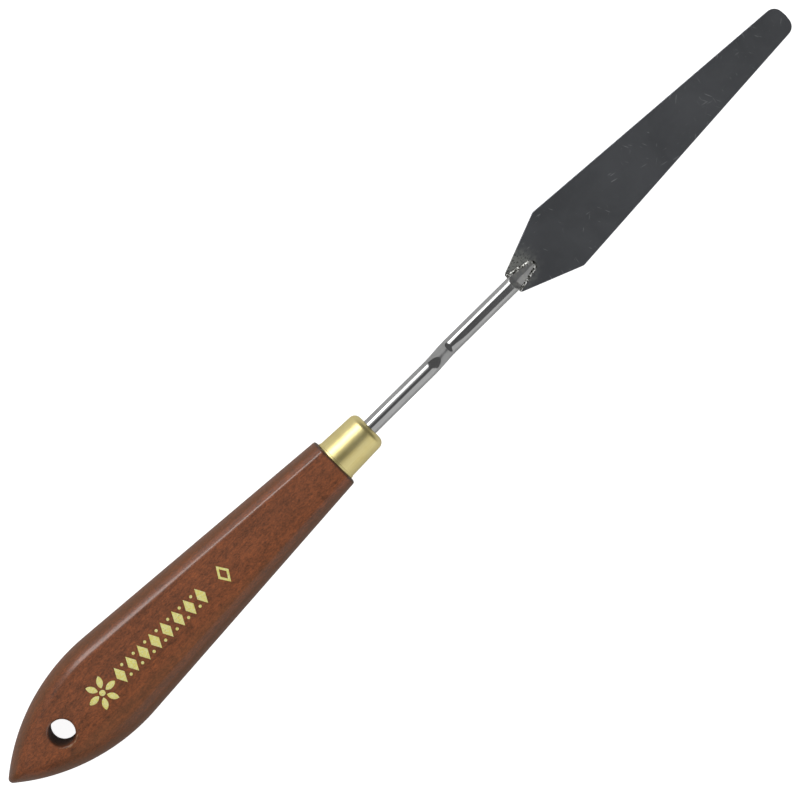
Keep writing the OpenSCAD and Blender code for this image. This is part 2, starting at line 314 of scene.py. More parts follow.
class Nodes:
    """Adds and links nodes in one node tree."""

    def __init__(self, tree: bpy.types.NodeTree) -> None:
        """Works in tree."""
        self.tree = tree

    def add(self, kind: str, inputs: Optional[Dict[Any, Any]] = None,
            **settings: Any) -> bpy.types.Node:
        """Adds a node.

        Args:
            kind: The node's type, without the ShaderNode in front.
            inputs: What goes in each socket: a value, or a socket to link.
            **settings: The node's own properties.

        Returns:
            The node.
        """
        node = self.tree.nodes.new(kind if kind.startswith("Node") else "ShaderNode" + kind)
        for name, value in settings.items():
            setattr(node, name, value)
        for name, value in (inputs or {}).items():
            self.put(node.inputs[name], value)
        return node

    def put(self, socket: bpy.types.NodeSocket, value: Any) -> None:
        """Links a socket to value if value is a socket, and otherwise sets it.

        Args:
            socket: The socket.
            value: A socket to link, or a value.
        """
        if isinstance(value, bpy.types.NodeSocket):
            self.tree.links.new(value, socket)
        else:
            socket.default_value = value

    def math(self, operation: str, a: Any, b: Any = 0.0,
             clamp: bool = False) -> bpy.types.NodeSocket:
        """Returns the result of a Math node on a and b."""
        return self.add("Math", {0: a, 1: b}, operation=operation, use_clamp=clamp).outputs[0]

    def band(self, value: Any, low: float, high: float, out_low: float = 0.0,
             out_high: float = 1.0) -> bpy.types.NodeSocket:
        """Returns value mapped smoothly from low..high to out_low..out_high, and held there."""
        return self.add("MapRange", {0: value, 1: low, 2: high, 3: out_low, 4: out_high},
                        interpolation_type="SMOOTHSTEP", clamp=True).outputs[0]

    def mix(self, factor: Any, a: Any, b: Any, blend: str = "MIX") -> bpy.types.NodeSocket:
        """Returns colours a and b mixed.

        Args:
            factor: The share of b.
            a: The first colour.
            b: The second colour.
            blend: How the two are blended.

        Returns:
            The mixed colour's socket.
        """
        node = self.add("Mix", {0: factor, 6: opaque(a), 7: opaque(b)}, data_type="RGBA",
                        blend_type=blend)
        return node.outputs[2]

    def noise(self, vector: Any, scale: float, detail: float = 3.0, roughness: float = 0.5,
              distortion: float = 0.0) -> bpy.types.NodeSocket:
        """Returns a noise value from 0 to 1.

        Args:
            vector: Where the noise is read.
            scale: How fine it is.
            detail: How many layers it has.
            roughness: How strong the finer layers are.
            distortion: How far it is bent.

        Returns:
            The value's socket.
        """
        return self.add("TexNoise", {
            "Vector": vector, "Scale": scale, "Detail": detail, "Roughness": roughness,
            "Distortion": distortion}).outputs[0]

    def stretch(self, vector: Any, scale: Sequence[float], turn: float = 0.0,
                location: Sequence[float] = (0.0, 0.0, 0.0)) -> bpy.types.NodeSocket:
        """Returns a vector turned about Z by turn degrees, moved and scaled by a Mapping node.

        Args:
            vector: The vector.
            scale: The scale on each axis.
            turn: The turn about Z, in degrees.
            location: How far it is moved.

        Returns:
            The new vector's socket.
        """
        return self.add("Mapping", {
            "Vector": vector, "Location": location, "Rotation": (0.0, 0.0, math.radians(turn)),
            "Scale": scale}).outputs[0]

    def millimetres(self) -> bpy.types.NodeSocket:
        """Returns the object's own coordinates in millimetres."""
        place = self.add("TexCoord").outputs["Object"]
        return self.stretch(place, (1.0 / MM,) * 3)

    def ramp(self, factor: Any, stops: Sequence[Tuple[float, Colour]]) -> bpy.types.NodeSocket:
        """Returns a colour from a ramp of (place, colour) stops.

        Args:
            factor: What places a point on the ramp.
            stops: Each stop's place, from 0 to 1, and its colour.

        Returns:
            The colour's socket.
        """
        node = self.add("ValToRGB", {0: factor})
        band = node.color_ramp
        while len(band.elements) < len(stops):
            band.elements.new(0.5)
        for element, (place, colour) in zip(band.elements, stops):
            element.position = place
            element.color = opaque(colour)
        return node.outputs[0]

    def group(self, tree: bpy.types.NodeTree, **inputs: Any) -> bpy.types.Node:
        """Places a shader node group and fills its sockets, which are named as the inputs are.

        Args:
            tree: The group's node tree.
            **inputs: What goes in each socket.

        Returns:
            The group node.
        """
        node = self.tree.nodes.new("ShaderNodeGroup")
        node.node_tree = tree
        for name, value in inputs.items():
            self.put(node.inputs[name], value)
        return node

    def bump(self, height: Any, strength: float, depth: float) -> bpy.types.NodeSocket:
        """Returns a bumped normal.

        Args:
            height: The pattern, from 0 to 1.
            strength: How strongly it tilts the normal.
            depth: The height of the pattern in millimetres.
        """
        return self.add("Bump", {"Height": height, "Strength": strength,
                                 "Distance": depth * MM}).outputs[0]


def opaque(colour: Any) -> Any:
    """Gives a plain colour its alpha, and leaves a socket as it is."""
    return colour if isinstance(colour, bpy.types.NodeSocket) else (*colour[:3], 1.0)


def build_group(name: str, inputs: Dict[str, Any], outputs: Sequence[str],
                wire: Callable[[Nodes, Any], Dict[str, Any]]) -> bpy.types.NodeTree:
    """Builds a shader node group.

    Args:
        name: The group's name.
        inputs: Each input's name and default, None for a vector.
        outputs: The names of its value outputs.
        wire: A function that gets the nodes and the group's input sockets, and returns a socket
            for each output.

    Returns:
        The group's node tree.
    """
    tree = bpy.data.node_groups.new(name, "ShaderNodeTree")
    for socket, default in inputs.items():
        kind = "NodeSocketVector" if default is None else "NodeSocketFloat"
        made = tree.interface.new_socket(socket, in_out="INPUT", socket_type=kind)
        if default is not None:
            made.default_value = default
    for socket in outputs:
        tree.interface.new_socket(socket, in_out="OUTPUT", socket_type="NodeSocketFloat")
    nodes = Nodes(tree)
    results = wire(nodes, nodes.add("NodeGroupInput").outputs)
    end = nodes.add("NodeGroupOutput")
    for socket, value in results.items():
        nodes.put(end.inputs[socket], value)
    return tree


# --- Effects that several finishes share --------------------------------------------------------


class Effects:
    """The shader node groups, each built once."""

    def __init__(self) -> None:
        """Builds every group."""
        self.lines = build_group(
            "lengthwise_lines", {"Vector": None, "Fineness": 8.0, "Length": 12.0, "Contrast": 1.0},
            ["Lines"], self._lines)
        self.scratches = build_group(
            "scratches", {"Vector": None, "Fineness": 4.0, "Amount": 0.5}, ["Mask"],
            self._scratches)
        self.smudges = build_group(
            "smudges", {"Vector": None, "Size": 8.0}, ["Smudge", "Specks"], self._smudges)
        self.heat = build_group(
            "heat_marks", {"Vector": None, "Reach": 6.0}, ["Halo", "Pits"], self._heat)

    @staticmethod
    def _lines(nodes: Nodes, given: Any) -> Dict[str, Any]:
        """Lines that run along X: fibres, drawing lines and polishing lines.

        Args:
            nodes: The group's nodes.
            given: The group's input sockets.

        Returns:
            A socket for each output.
        """
        across = given["Fineness"]
        along = nodes.math("DIVIDE", across, given["Length"])
        scale = nodes.add("CombineXYZ", {0: along, 1: across, 2: across}).outputs[0]
        vector = nodes.add("VectorMath", {0: given["Vector"], 1: scale},
                           operation="MULTIPLY").outputs[0]
        raw = nodes.noise(vector, 1.0, 4.0, 0.62)
        centred = nodes.math("MULTIPLY", nodes.math("SUBTRACT", raw, 0.5), given["Contrast"])
        return {"Lines": nodes.math("ADD", centred, 0.5, clamp=True)}

    @staticmethod
    def _scratches(nodes: Nodes, given: Any) -> Dict[str, Any]:
        """Sparse short scratches that lie in four directions.

        Args:
            nodes: The group's nodes.
            given: The group's input sockets.

        Returns:
            A socket for each output.
        """
        total: Any = 0.0
        for turn, shift in ((12.0, 3.1), (-38.0, 17.7), (64.0, 41.3), (101.0, 73.9)):
            turned = nodes.stretch(given["Vector"], (1.0, 1.0, 1.0), turn, (shift, -shift, 0.0))
            drawn = nodes.stretch(turned, (0.07, 1.0, 1.0))
            scaled = nodes.add("VectorMath", {0: drawn, "Scale": given["Fineness"]},
                               operation="SCALE").outputs[0]
            hairs = nodes.band(nodes.noise(scaled, 1.0, 1.0, 0.5), 0.735, 0.78)
            where = nodes.stretch(given["Vector"], (0.13, 0.13, 0.13), turn, (shift, 0.0, shift))
            patch = nodes.band(nodes.noise(where, 1.0, 1.0), 0.48, 0.60)
            total = nodes.math("MAXIMUM", total, nodes.math("MULTIPLY", hairs, patch))
        return {"Mask": nodes.math("MULTIPLY", total, given["Amount"], clamp=True)}

    @staticmethod
    def _smudges(nodes: Nodes, given: Any) -> Dict[str, Any]:
        """Soft clouds left by handling, and tiny specks of dust.

        Args:
            nodes: The group's nodes.
            given: The group's input sockets.

        Returns:
            A socket for each output.
        """
        size = nodes.math("DIVIDE", 1.0, given["Size"])
        scaled = nodes.add("VectorMath", {0: given["Vector"], "Scale": size},
                           operation="SCALE").outputs[0]
        cloud = nodes.noise(scaled, 1.0, 5.0, 0.6, 0.4)
        dust = nodes.band(nodes.noise(given["Vector"], 2.3, 2.0, 0.5), 0.73, 0.78)
        return {"Smudge": cloud, "Specks": dust}

    @staticmethod
    def _heat(nodes: Nodes, given: Any) -> Dict[str, Any]:
        """A halo of heat marks round the origin of the vector, with pits in it.

        Args:
            nodes: The group's nodes.
            given: The group's input sockets.

        Returns:
            A socket for each output.
        """
        distance = nodes.add("VectorMath", {0: given["Vector"]},
                             operation="LENGTH").outputs["Value"]
        ragged = nodes.math("SUBTRACT", nodes.noise(given["Vector"], 0.9, 4.0, 0.6), 0.5)
        share = nodes.math("ADD", nodes.math("DIVIDE", distance, given["Reach"]),
                           nodes.math("MULTIPLY", ragged, 0.9))
        halo = nodes.band(share, 1.0, 0.25)
        pits = nodes.band(nodes.noise(given["Vector"], 1.9, 3.0, 0.65), 0.53, 0.60)
        return {"Halo": halo, "Pits": nodes.math("MULTIPLY", pits, halo)}


# --- Finishes -----------------------------------------------------------------------------------


def start_material(name: str) -> Tuple[bpy.types.Material, Nodes, bpy.types.Node]:
    """Starts a node material.

    Returns:
        The material, its nodes, and its Principled shader, which is already joined to the output.

    Args:
        name: The material's name.
    """
    material = bpy.data.materials.new(name)
    material.use_nodes = True
    material.node_tree.nodes.clear()
    nodes = Nodes(material.node_tree)
    shader = nodes.add("BsdfPrincipled")
    nodes.add("OutputMaterial", {"Surface": shader.outputs[0]})
    return material, nodes, shader


@dataclass(frozen=True)
class LacqueredWood:
    """Red-brown hardwood, stained and lacquered, with its fibres along X.

    Attributes:
        fibres: The fineness, the length and the share of each layer of fibres.
        pore_share, flank_painted_shade_share, edge_painted_shade_share, wall_stain_and_shade_share,
        end_stain_and_shade_share,
        rubbed_and_highlit_share: How far the colour moves in the pores, in the painted shade on the
            bulged sides, in the
        painted shade along the -Y edge of the face, on the hole's wall (stain with painted shade in
        the hole), at the end grain (stain with a painted shadow line at the ferrule) and on the -Y
        side of the hole's rim (rubbed bare wood with a painted highlight).
    """

    dark: Colour = (0.100, 0.037, 0.016)
    middle: Colour = (0.225, 0.070, 0.026)
    light: Colour = (0.400, 0.113, 0.036)
    # The pores' colour, also used for the stain and painted shade in the hole and at the shoulder.
    pore_and_shade: Colour = (0.050, 0.026, 0.015)
    # The colour of the painted shade on the bulged sides and along the -Y edge of the face.
    side: Colour = (0.140, 0.068, 0.030)
    # Rubbed bare wood, also used as a painted highlight on the hole's rim.
    bare: Colour = (0.430, 0.270, 0.150)
    roughness: float = 0.44
    specular: float = 0.22
    coat: float = 1.0
    coat_ior: float = 1.6
    coat_roughness: float = 0.18
    cloud_share: float = 0.28
    fibres: Tuple[Tuple[float, float, float], ...] = (
        (2.4, 4.0, 0.22), (5.0, 2.0, 0.37), (0.5, 6.0, 0.14))
    pore_share: float = 0.45
    flank_painted_shade_share: float = 0.55
    edge_painted_shade_share: float = 0.35
    wall_stain_and_shade_share: float = 0.35
    end_stain_and_shade_share: float = 0.75
    rubbed_and_highlit_share: float = 0.6

    def build(self, effects: Effects, sizes: "HandleSize") -> bpy.types.Material:
        """Builds the material, with painted shade on the bulged sides and along the -Y edge, stain
        and painted shade at the end grain and in the hole, and a painted highlight on part of the
        hole's rim.

        Args:
            effects: The shared effects.
            sizes: The handle's sizes, which place the painted shade, the stain and the painted
                highlight.

        Returns:
            The material.
        """
        material, nodes, shader = start_material("lacquered_wood")
        place = nodes.millimetres()
        smudge = nodes.group(effects.smudges, Vector=place, Size=2.0)
        tone = nodes.math("MULTIPLY", smudge.outputs["Smudge"], self.cloud_share)
        for fineness, length, share in self.fibres:
            lines = nodes.group(effects.lines, Vector=place, Fineness=fineness, Length=length,
                                Contrast=1.8).outputs[0]
            tone = nodes.math("ADD", tone, nodes.math("MULTIPLY", lines, share))
        wood = nodes.ramp(tone, [(0.32, self.dark), (0.5, self.middle), (0.69, self.light)])
        fine = nodes.group(effects.lines, Vector=place, Fineness=5.5, Length=7.0,
                           Contrast=1.2).outputs[0]
        pores = nodes.band(fine, 0.62, 0.72)
        colour = nodes.mix(nodes.math("MULTIPLY", pores, self.pore_share), wood, self.pore_and_shade)
        split = nodes.add("SeparateXYZ", {0: place})
        height = nodes.math("ABSOLUTE", split.outputs[2])
        radius = nodes.add("VectorMath", {0: nodes.stretch(place, (1.0, 1.0, 0.0))},
                           operation="LENGTH").outputs["Value"]
        # Painted shade: the bulged sides are mixed towards the darker side colour.
        flank = nodes.band(height, sizes.half_t - 0.35, sizes.half_t - 1.6)
        colour = nodes.mix(nodes.math("MULTIPLY", flank, self.flank_painted_shade_share), colour, self.side)
        # Painted shade: a darker band is mixed in along the -Y edge of the face.
        edge_painted_shade = nodes.band(nodes.math("ADD", split.outputs[1], nodes.math(
            "MULTIPLY", smudge.outputs["Smudge"], 1.2)), -2.8, -4.8)
        colour = nodes.mix(nodes.math("MULTIPLY", edge_painted_shade, self.edge_painted_shade_share), colour, self.side)
        mouth = sizes.hole_r + sizes.hole_ease
        # Stain and painted shade: the hole's wall and the wood just before the ferrule are darkened
        # towards the pore colour. End grain takes more stain, and the darkening also stands for the
        # shade in the hole and the shadow line at the joint.
        wall = nodes.band(radius, mouth + 0.25, sizes.hole_r)
        end = nodes.band(split.outputs[0], sizes.shoulder - 0.6, sizes.shoulder - 0.15)
        stain_and_shade = nodes.math("MAXIMUM", nodes.math("MULTIPLY", wall, self.wall_stain_and_shade_share),
                             nodes.math("MULTIPLY", end, self.end_stain_and_shade_share))
        colour = nodes.mix(stain_and_shade, colour, self.pore_and_shade)
        # Painted highlight: the -Y side of the hole's rim is lightened towards bare wood, partly
        # rubbed wear and partly a highlight on the rim.
        rim = nodes.math("SUBTRACT", 1.0, nodes.math("ABSOLUTE", nodes.math(
            "SUBTRACT", radius, mouth)))
        rubbed_and_highlit = nodes.band(nodes.math("ADD", rim, nodes.noise(place, 1.3, 3.0)), 1.38, 1.56)
        low_side = nodes.band(split.outputs[1], -1.2, -2.6)
        rubbed_and_highlit = nodes.math("MULTIPLY", nodes.math("MULTIPLY", rubbed_and_highlit, low_side),
                            self.rubbed_and_highlit_share)
        colour = nodes.mix(rubbed_and_highlit, colour, self.bare)
        nodes.put(shader.inputs["Base Color"], colour)
        nodes.put(shader.inputs["Roughness"], nodes.math(
            "ADD", nodes.band(smudge.outputs["Smudge"], 0.2, 0.8, self.roughness - 0.08,
                              self.roughness + 0.08),
            nodes.math("MULTIPLY", pores, 0.15), clamp=True))
        held = nodes.band(nodes.math("ADD", split.outputs[1], nodes.math(
            "MULTIPLY", smudge.outputs["Smudge"], 4.0)), -2.0, 4.0, 0.35, 1.0)
        lacquer = nodes.band(nodes.math("ADD", tone, flank), 0.6, 1.3, self.coat, 0.2 * self.coat)
        nodes.put(shader.inputs["Coat Weight"], nodes.math("MULTIPLY", lacquer, held))
        shader.inputs["Coat Roughness"].default_value = self.coat_roughness
        shader.inputs["Coat IOR"].default_value = self.coat_ior
        shader.inputs["Specular IOR Level"].default_value = self.specular
        relief = nodes.math("SUBTRACT", nodes.math("MULTIPLY", tone, 0.6), pores)
        nodes.put(shader.inputs["Normal"], nodes.bump(relief, 0.5, 0.014))
        return material


@dataclass(frozen=True)
class DrawnMetal:
    """A bright metal with lengthwise drawing lines and a few handling marks."""

    name: str
    colour: Colour
    shade: Colour
    roughness: float
    line_fineness: float
    line_depth: float
    scratch: float = 0.5
    forged: Colour = (0.55, 0.545, 0.52)
    forged_roughness: float = 0.36

    def build(self, effects: Effects, forged_from: Optional[float] = None) -> bpy.types.Material:
        """Builds the material.

        Args:
            effects: The shared groups.
            forged_from: Where along X, in millimetres, the forged and smoked end begins.

        Returns:
            The material.
        """
        material, nodes, shader = start_material(self.name)
        place = nodes.millimetres()
        lines = nodes.group(effects.lines, Vector=place, Fineness=self.line_fineness, Length=30.0,
                            Contrast=1.6).outputs[0]
        smudge = nodes.group(effects.smudges, Vector=place, Size=5.0)
        hairs = nodes.group(effects.scratches, Vector=place, Fineness=5.0,
                            Amount=self.scratch).outputs[0]
        tone = nodes.math("ADD", nodes.math("MULTIPLY", smudge.outputs["Smudge"], 0.7),
                          nodes.math("MULTIPLY", lines, 0.3))
        metal = nodes.mix(nodes.band(tone, 0.3, 0.7), self.shade, self.colour)
        rough = nodes.math("ADD", self.roughness - 0.05,
                           nodes.math("MULTIPLY", smudge.outputs["Smudge"], 0.1))
        if forged_from is not None:
            along = nodes.add("SeparateXYZ", {0: place}).outputs[0]
            ragged = nodes.math("ADD", along, nodes.math("MULTIPLY", smudge.outputs["Smudge"], 2.0))
            end = nodes.band(ragged, forged_from, forged_from + 1.6)
            smoke = nodes.band(nodes.noise(place, 1.4, 3.0, 0.6), 0.40, 0.60)
            metal = nodes.mix(nodes.math("MULTIPLY", end, smoke), metal, self.forged)
            rough = nodes.math("ADD", rough, nodes.math(
                "MULTIPLY", end, self.forged_roughness - self.roughness))
        nodes.put(shader.inputs["Base Color"], metal)
        shader.inputs["Metallic"].default_value = 1.0
        rough = nodes.math("ADD", rough, nodes.math("MULTIPLY", hairs, 0.12), clamp=True)
        nodes.put(shader.inputs["Roughness"], rough)
        height = nodes.math("SUBTRACT", lines, nodes.math("MULTIPLY", hairs, 0.8))
        nodes.put(shader.inputs["Normal"], nodes.bump(height, 0.35, self.line_depth))
        return material


@dataclass(frozen=True)
class BladeSteel:
    """Tempered sheet, dark and satin, with hair scratches and heat marks round the weld.

    Attributes:
        heat_at: How far the middle of the heat marks is from the heel and from the centre line.
        heat_squash: How much shorter the marks count along X than across.
        heat_reach: How far the marks reach.
    """

    colour: Colour = (0.265, 0.273, 0.29)
    bright: Colour = (0.85, 0.86, 0.87)
    heat: Colour = (0.55, 0.56, 0.51)
    pit: Colour = (0.03, 0.03, 0.03)
    roughness: float = 0.33
    heat_at: Point = (2.4, 1.6)
    heat_squash: float = 0.9
    heat_reach: float = 5.5

    def build(self, effects: Effects, heel: float) -> bpy.types.Material:
        """Builds the material.

        Args:
            effects: The shared effects.
            heel: Where the blade starts along X, in millimetres.

        Returns:
            The material.
        """
        material, nodes, shader = start_material("blade_steel")
        place = nodes.millimetres()
        lines = nodes.group(effects.lines, Vector=place, Fineness=3.5, Length=18.0,
                            Contrast=1.0).outputs[0]
        smudge = nodes.group(effects.smudges, Vector=place, Size=11.0)
        hairs = nodes.group(effects.scratches, Vector=place, Fineness=5.0, Amount=1.0).outputs[0]
        near = nodes.stretch(place, (self.heat_squash, 1.0, 0.0), 0.0, (
            -self.heat_squash * (heel + self.heat_at[0]), -self.heat_at[1], 0.0))
        heat = nodes.group(effects.heat, Vector=near, Reach=self.heat_reach)
        tone = nodes.band(smudge.outputs["Smudge"], 0.2, 0.8, 0.88, 1.08)
        steel = nodes.mix(1.0, self.colour, nodes.add(
            "CombineXYZ", {0: tone, 1: tone, 2: tone}).outputs[0], "MULTIPLY")
        steel = nodes.mix(nodes.math("MULTIPLY", heat.outputs["Halo"], 0.7), steel, self.heat)
        marks = nodes.math("MAXIMUM", hairs, nodes.math(
            "MULTIPLY", smudge.outputs["Specks"], 0.35), clamp=True)
        steel = nodes.mix(nodes.math("MULTIPLY", marks, 0.7), steel, self.bright)
        steel = nodes.mix(nodes.math("MULTIPLY", heat.outputs["Pits"], 0.75), steel, self.pit)
        nodes.put(shader.inputs["Base Color"], steel)
        shader.inputs["Metallic"].default_value = 1.0
        rough = nodes.math("ADD", self.roughness - 0.06,
                           nodes.math("MULTIPLY", smudge.outputs["Smudge"], 0.12))
        rough = nodes.math("ADD", rough, nodes.math("MULTIPLY", heat.outputs["Halo"], 0.12),
                           clamp=True)
        nodes.put(shader.inputs["Roughness"], rough)
        height = nodes.math("SUBTRACT", nodes.math("MULTIPLY", lines, 0.25),
                            nodes.math("ADD", hairs, heat.outputs["Pits"]))
        nodes.put(shader.inputs["Normal"], nodes.bump(height, 0.5, 0.012))
        return material


@dataclass(frozen=True)
class WeldSteel:
    """A grey bead with bright ripples, dark pits and a straw tint from the heat."""

    dark: Colour = (0.02, 0.02, 0.018)
    middle: Colour = (0.22, 0.22, 0.20)
    bright: Colour = (0.95, 0.95, 0.92)

    def build(self, effects: Effects) -> bpy.types.Material:
        """Builds the material.

        Args:
            effects: The shared effects.

        Returns:
            The material.
        """
        material, nodes, shader = start_material("weld_steel")
        place = nodes.millimetres()
        ripple = nodes.noise(place, 1.9, 4.0, 0.65, 0.6)
        smudge = nodes.group(effects.smudges, Vector=place, Size=1.6)
        tone = nodes.math("ADD", nodes.math("MULTIPLY", ripple, 0.7),
                          nodes.math("MULTIPLY", smudge.outputs["Smudge"], 0.3))
        metal = nodes.ramp(tone, [(0.43, self.dark), (0.5, self.middle), (0.58, self.bright)])
        nodes.put(shader.inputs["Base Color"], metal)
        shader.inputs["Metallic"].default_value = 0.9
        nodes.put(shader.inputs["Roughness"], nodes.band(ripple, 0.35, 0.65, 0.5, 0.25))
        nodes.put(shader.inputs["Normal"], nodes.bump(ripple, 0.6, 0.05))
        return material


@dataclass(frozen=True)
class GoldFoil:
    """Foil pressed into the wood: it keeps the grain and shows small breaks."""

    colour: Colour = (0.95, 0.85, 0.20)
    pale: Colour = (1.0, 0.97, 0.46)
    bare: Colour = (0.20, 0.12, 0.05)

    def build(self, effects: Effects) -> bpy.types.Material:
        """Builds the material.

        Args:
            effects: The shared effects.

        Returns:
            The material.
        """
        material, nodes, shader = start_material("gold_foil")
        place = nodes.millimetres()
        fibres = nodes.group(effects.lines, Vector=place, Fineness=3.5, Length=8.0,
                             Contrast=1.6).outputs[0]
        crackle = nodes.noise(place, 3.4, 3.0, 0.6)
        gold = nodes.mix(nodes.band(crackle, 0.35, 0.65), self.colour, self.pale)
        worn = nodes.band(nodes.math("ADD", fibres, crackle), 1.22, 1.36)
        nodes.put(shader.inputs["Base Color"], nodes.mix(
            nodes.math("MULTIPLY", worn, 0.7), gold, self.bare))
        shader.inputs["Metallic"].default_value = 0.2
        nodes.put(shader.inputs["Roughness"], nodes.band(crackle, 0.3, 0.7, 0.32, 0.55))
        nodes.put(shader.inputs["Normal"], nodes.bump(
            nodes.math("ADD", fibres, crackle), 0.6, 0.03))
        return material


@dataclass(frozen=True)
class CuredGlue:
    """Amber glue, cloudy with small bubbles."""

    clear: Colour = (0.42, 0.26, 0.07)
    cloudy: Colour = (0.62, 0.46, 0.20)
    roughness: float = 0.3

    def build(self, effects: Effects) -> bpy.types.Material:
        """Builds the material.

        Args:
            effects: The shared effects.

        Returns:
            The material.
        """
        material, nodes, shader = start_material("cured_glue")
        place = nodes.millimetres()
        smudge = nodes.group(effects.smudges, Vector=place, Size=2.0)
        nodes.put(shader.inputs["Base Color"], nodes.mix(
            smudge.outputs["Smudge"], self.clear, self.cloudy))
        nodes.put(shader.inputs["Roughness"], nodes.band(
            smudge.outputs["Smudge"], 0.2, 0.8, self.roughness - 0.1, self.roughness + 0.15))
        nodes.put(shader.inputs["Normal"], nodes.bump(nodes.noise(place, 2.5), 0.3, 0.05))
        return material


@dataclass(frozen=True)
class LitTable:
    """The pale table that the knife lies on, which is lit a little from below."""

    colour: Colour = (0.75, 0.75, 0.75)
    glow: float = 0.90

    def build(self) -> bpy.types.Material:
        """Builds the material.

        Returns:
            The material.
        """
        material, nodes, shader = start_material("table")
        place = nodes.millimetres()
        grain = nodes.noise(place, 0.05, 3.0)
        nodes.put(shader.inputs["Base Color"], nodes.mix(
            grain, self.colour, tuple(0.99 * c for c in self.colour)))
        shader.inputs["Roughness"].default_value = 0.9
        shader.inputs["Specular IOR Level"].default_value = 0.0
        shader.inputs["Emission Color"].default_value = opaque((1.0, 1.0, 1.0))
        seen = nodes.add("LightPath").outputs["Is Camera Ray"]
        nodes.put(shader.inputs["Emission Strength"], nodes.math("MULTIPLY", seen, self.glow))
        return material


# --- Sub-assemblies -----------------------------------------------------------------------------


@dataclass
class HandleSize:
    """Sizes of the wood in millimetres, along X from the butt unless said otherwise."""

    butt: float
    shoulder: float
    half_w: float
    half_t: float
    tenon_end: float
    widest_at: float = 27.4
    neck_half: float = 5.7
    butt_r: float = 0.9
    bulge_rise: float = 3.1
    neck_bulge: float = 0.71
    arris_r: float = 1.5
    shoulder_r: float = 0.5
    hole_r: float = 2.72
    hole_ease: float = 0.43
    tang_bore_r: float = 2.0
    tang_len: float = 34.0
    drill_half_angle: float = 59.0
    tenon_r: float = 4.06
    tenon_taper: float = 0.33
    tenon_root: float = 1.0
    tenon_end_r: float = 1.5


@dataclass
class StampSize:
    """Sizes of the stamped marks in millimetres."""

    depth: float = 0.15
    foil: float = 0.06
    slope: float = 0.08
    rosette_at: float = 26.3
    rosette_d: float = 7.0
    petals: int = 6
    petal_len: float = 2.59
    hub_r: float = 7.0 / 11.0
    lozenge_count: int = 8
    lozenge_len: float = 2.112
    pitch: float = 3.2
    row_w: float = 4.0
    dot_off: float = 4.0 / 3.0
    dot_r: float = 1.0 / 3.0
    last_gap: float = 3.0
    last_outer: Point = (2.8, 4.4)
    last_inner: Point = (1.6, 2.6)


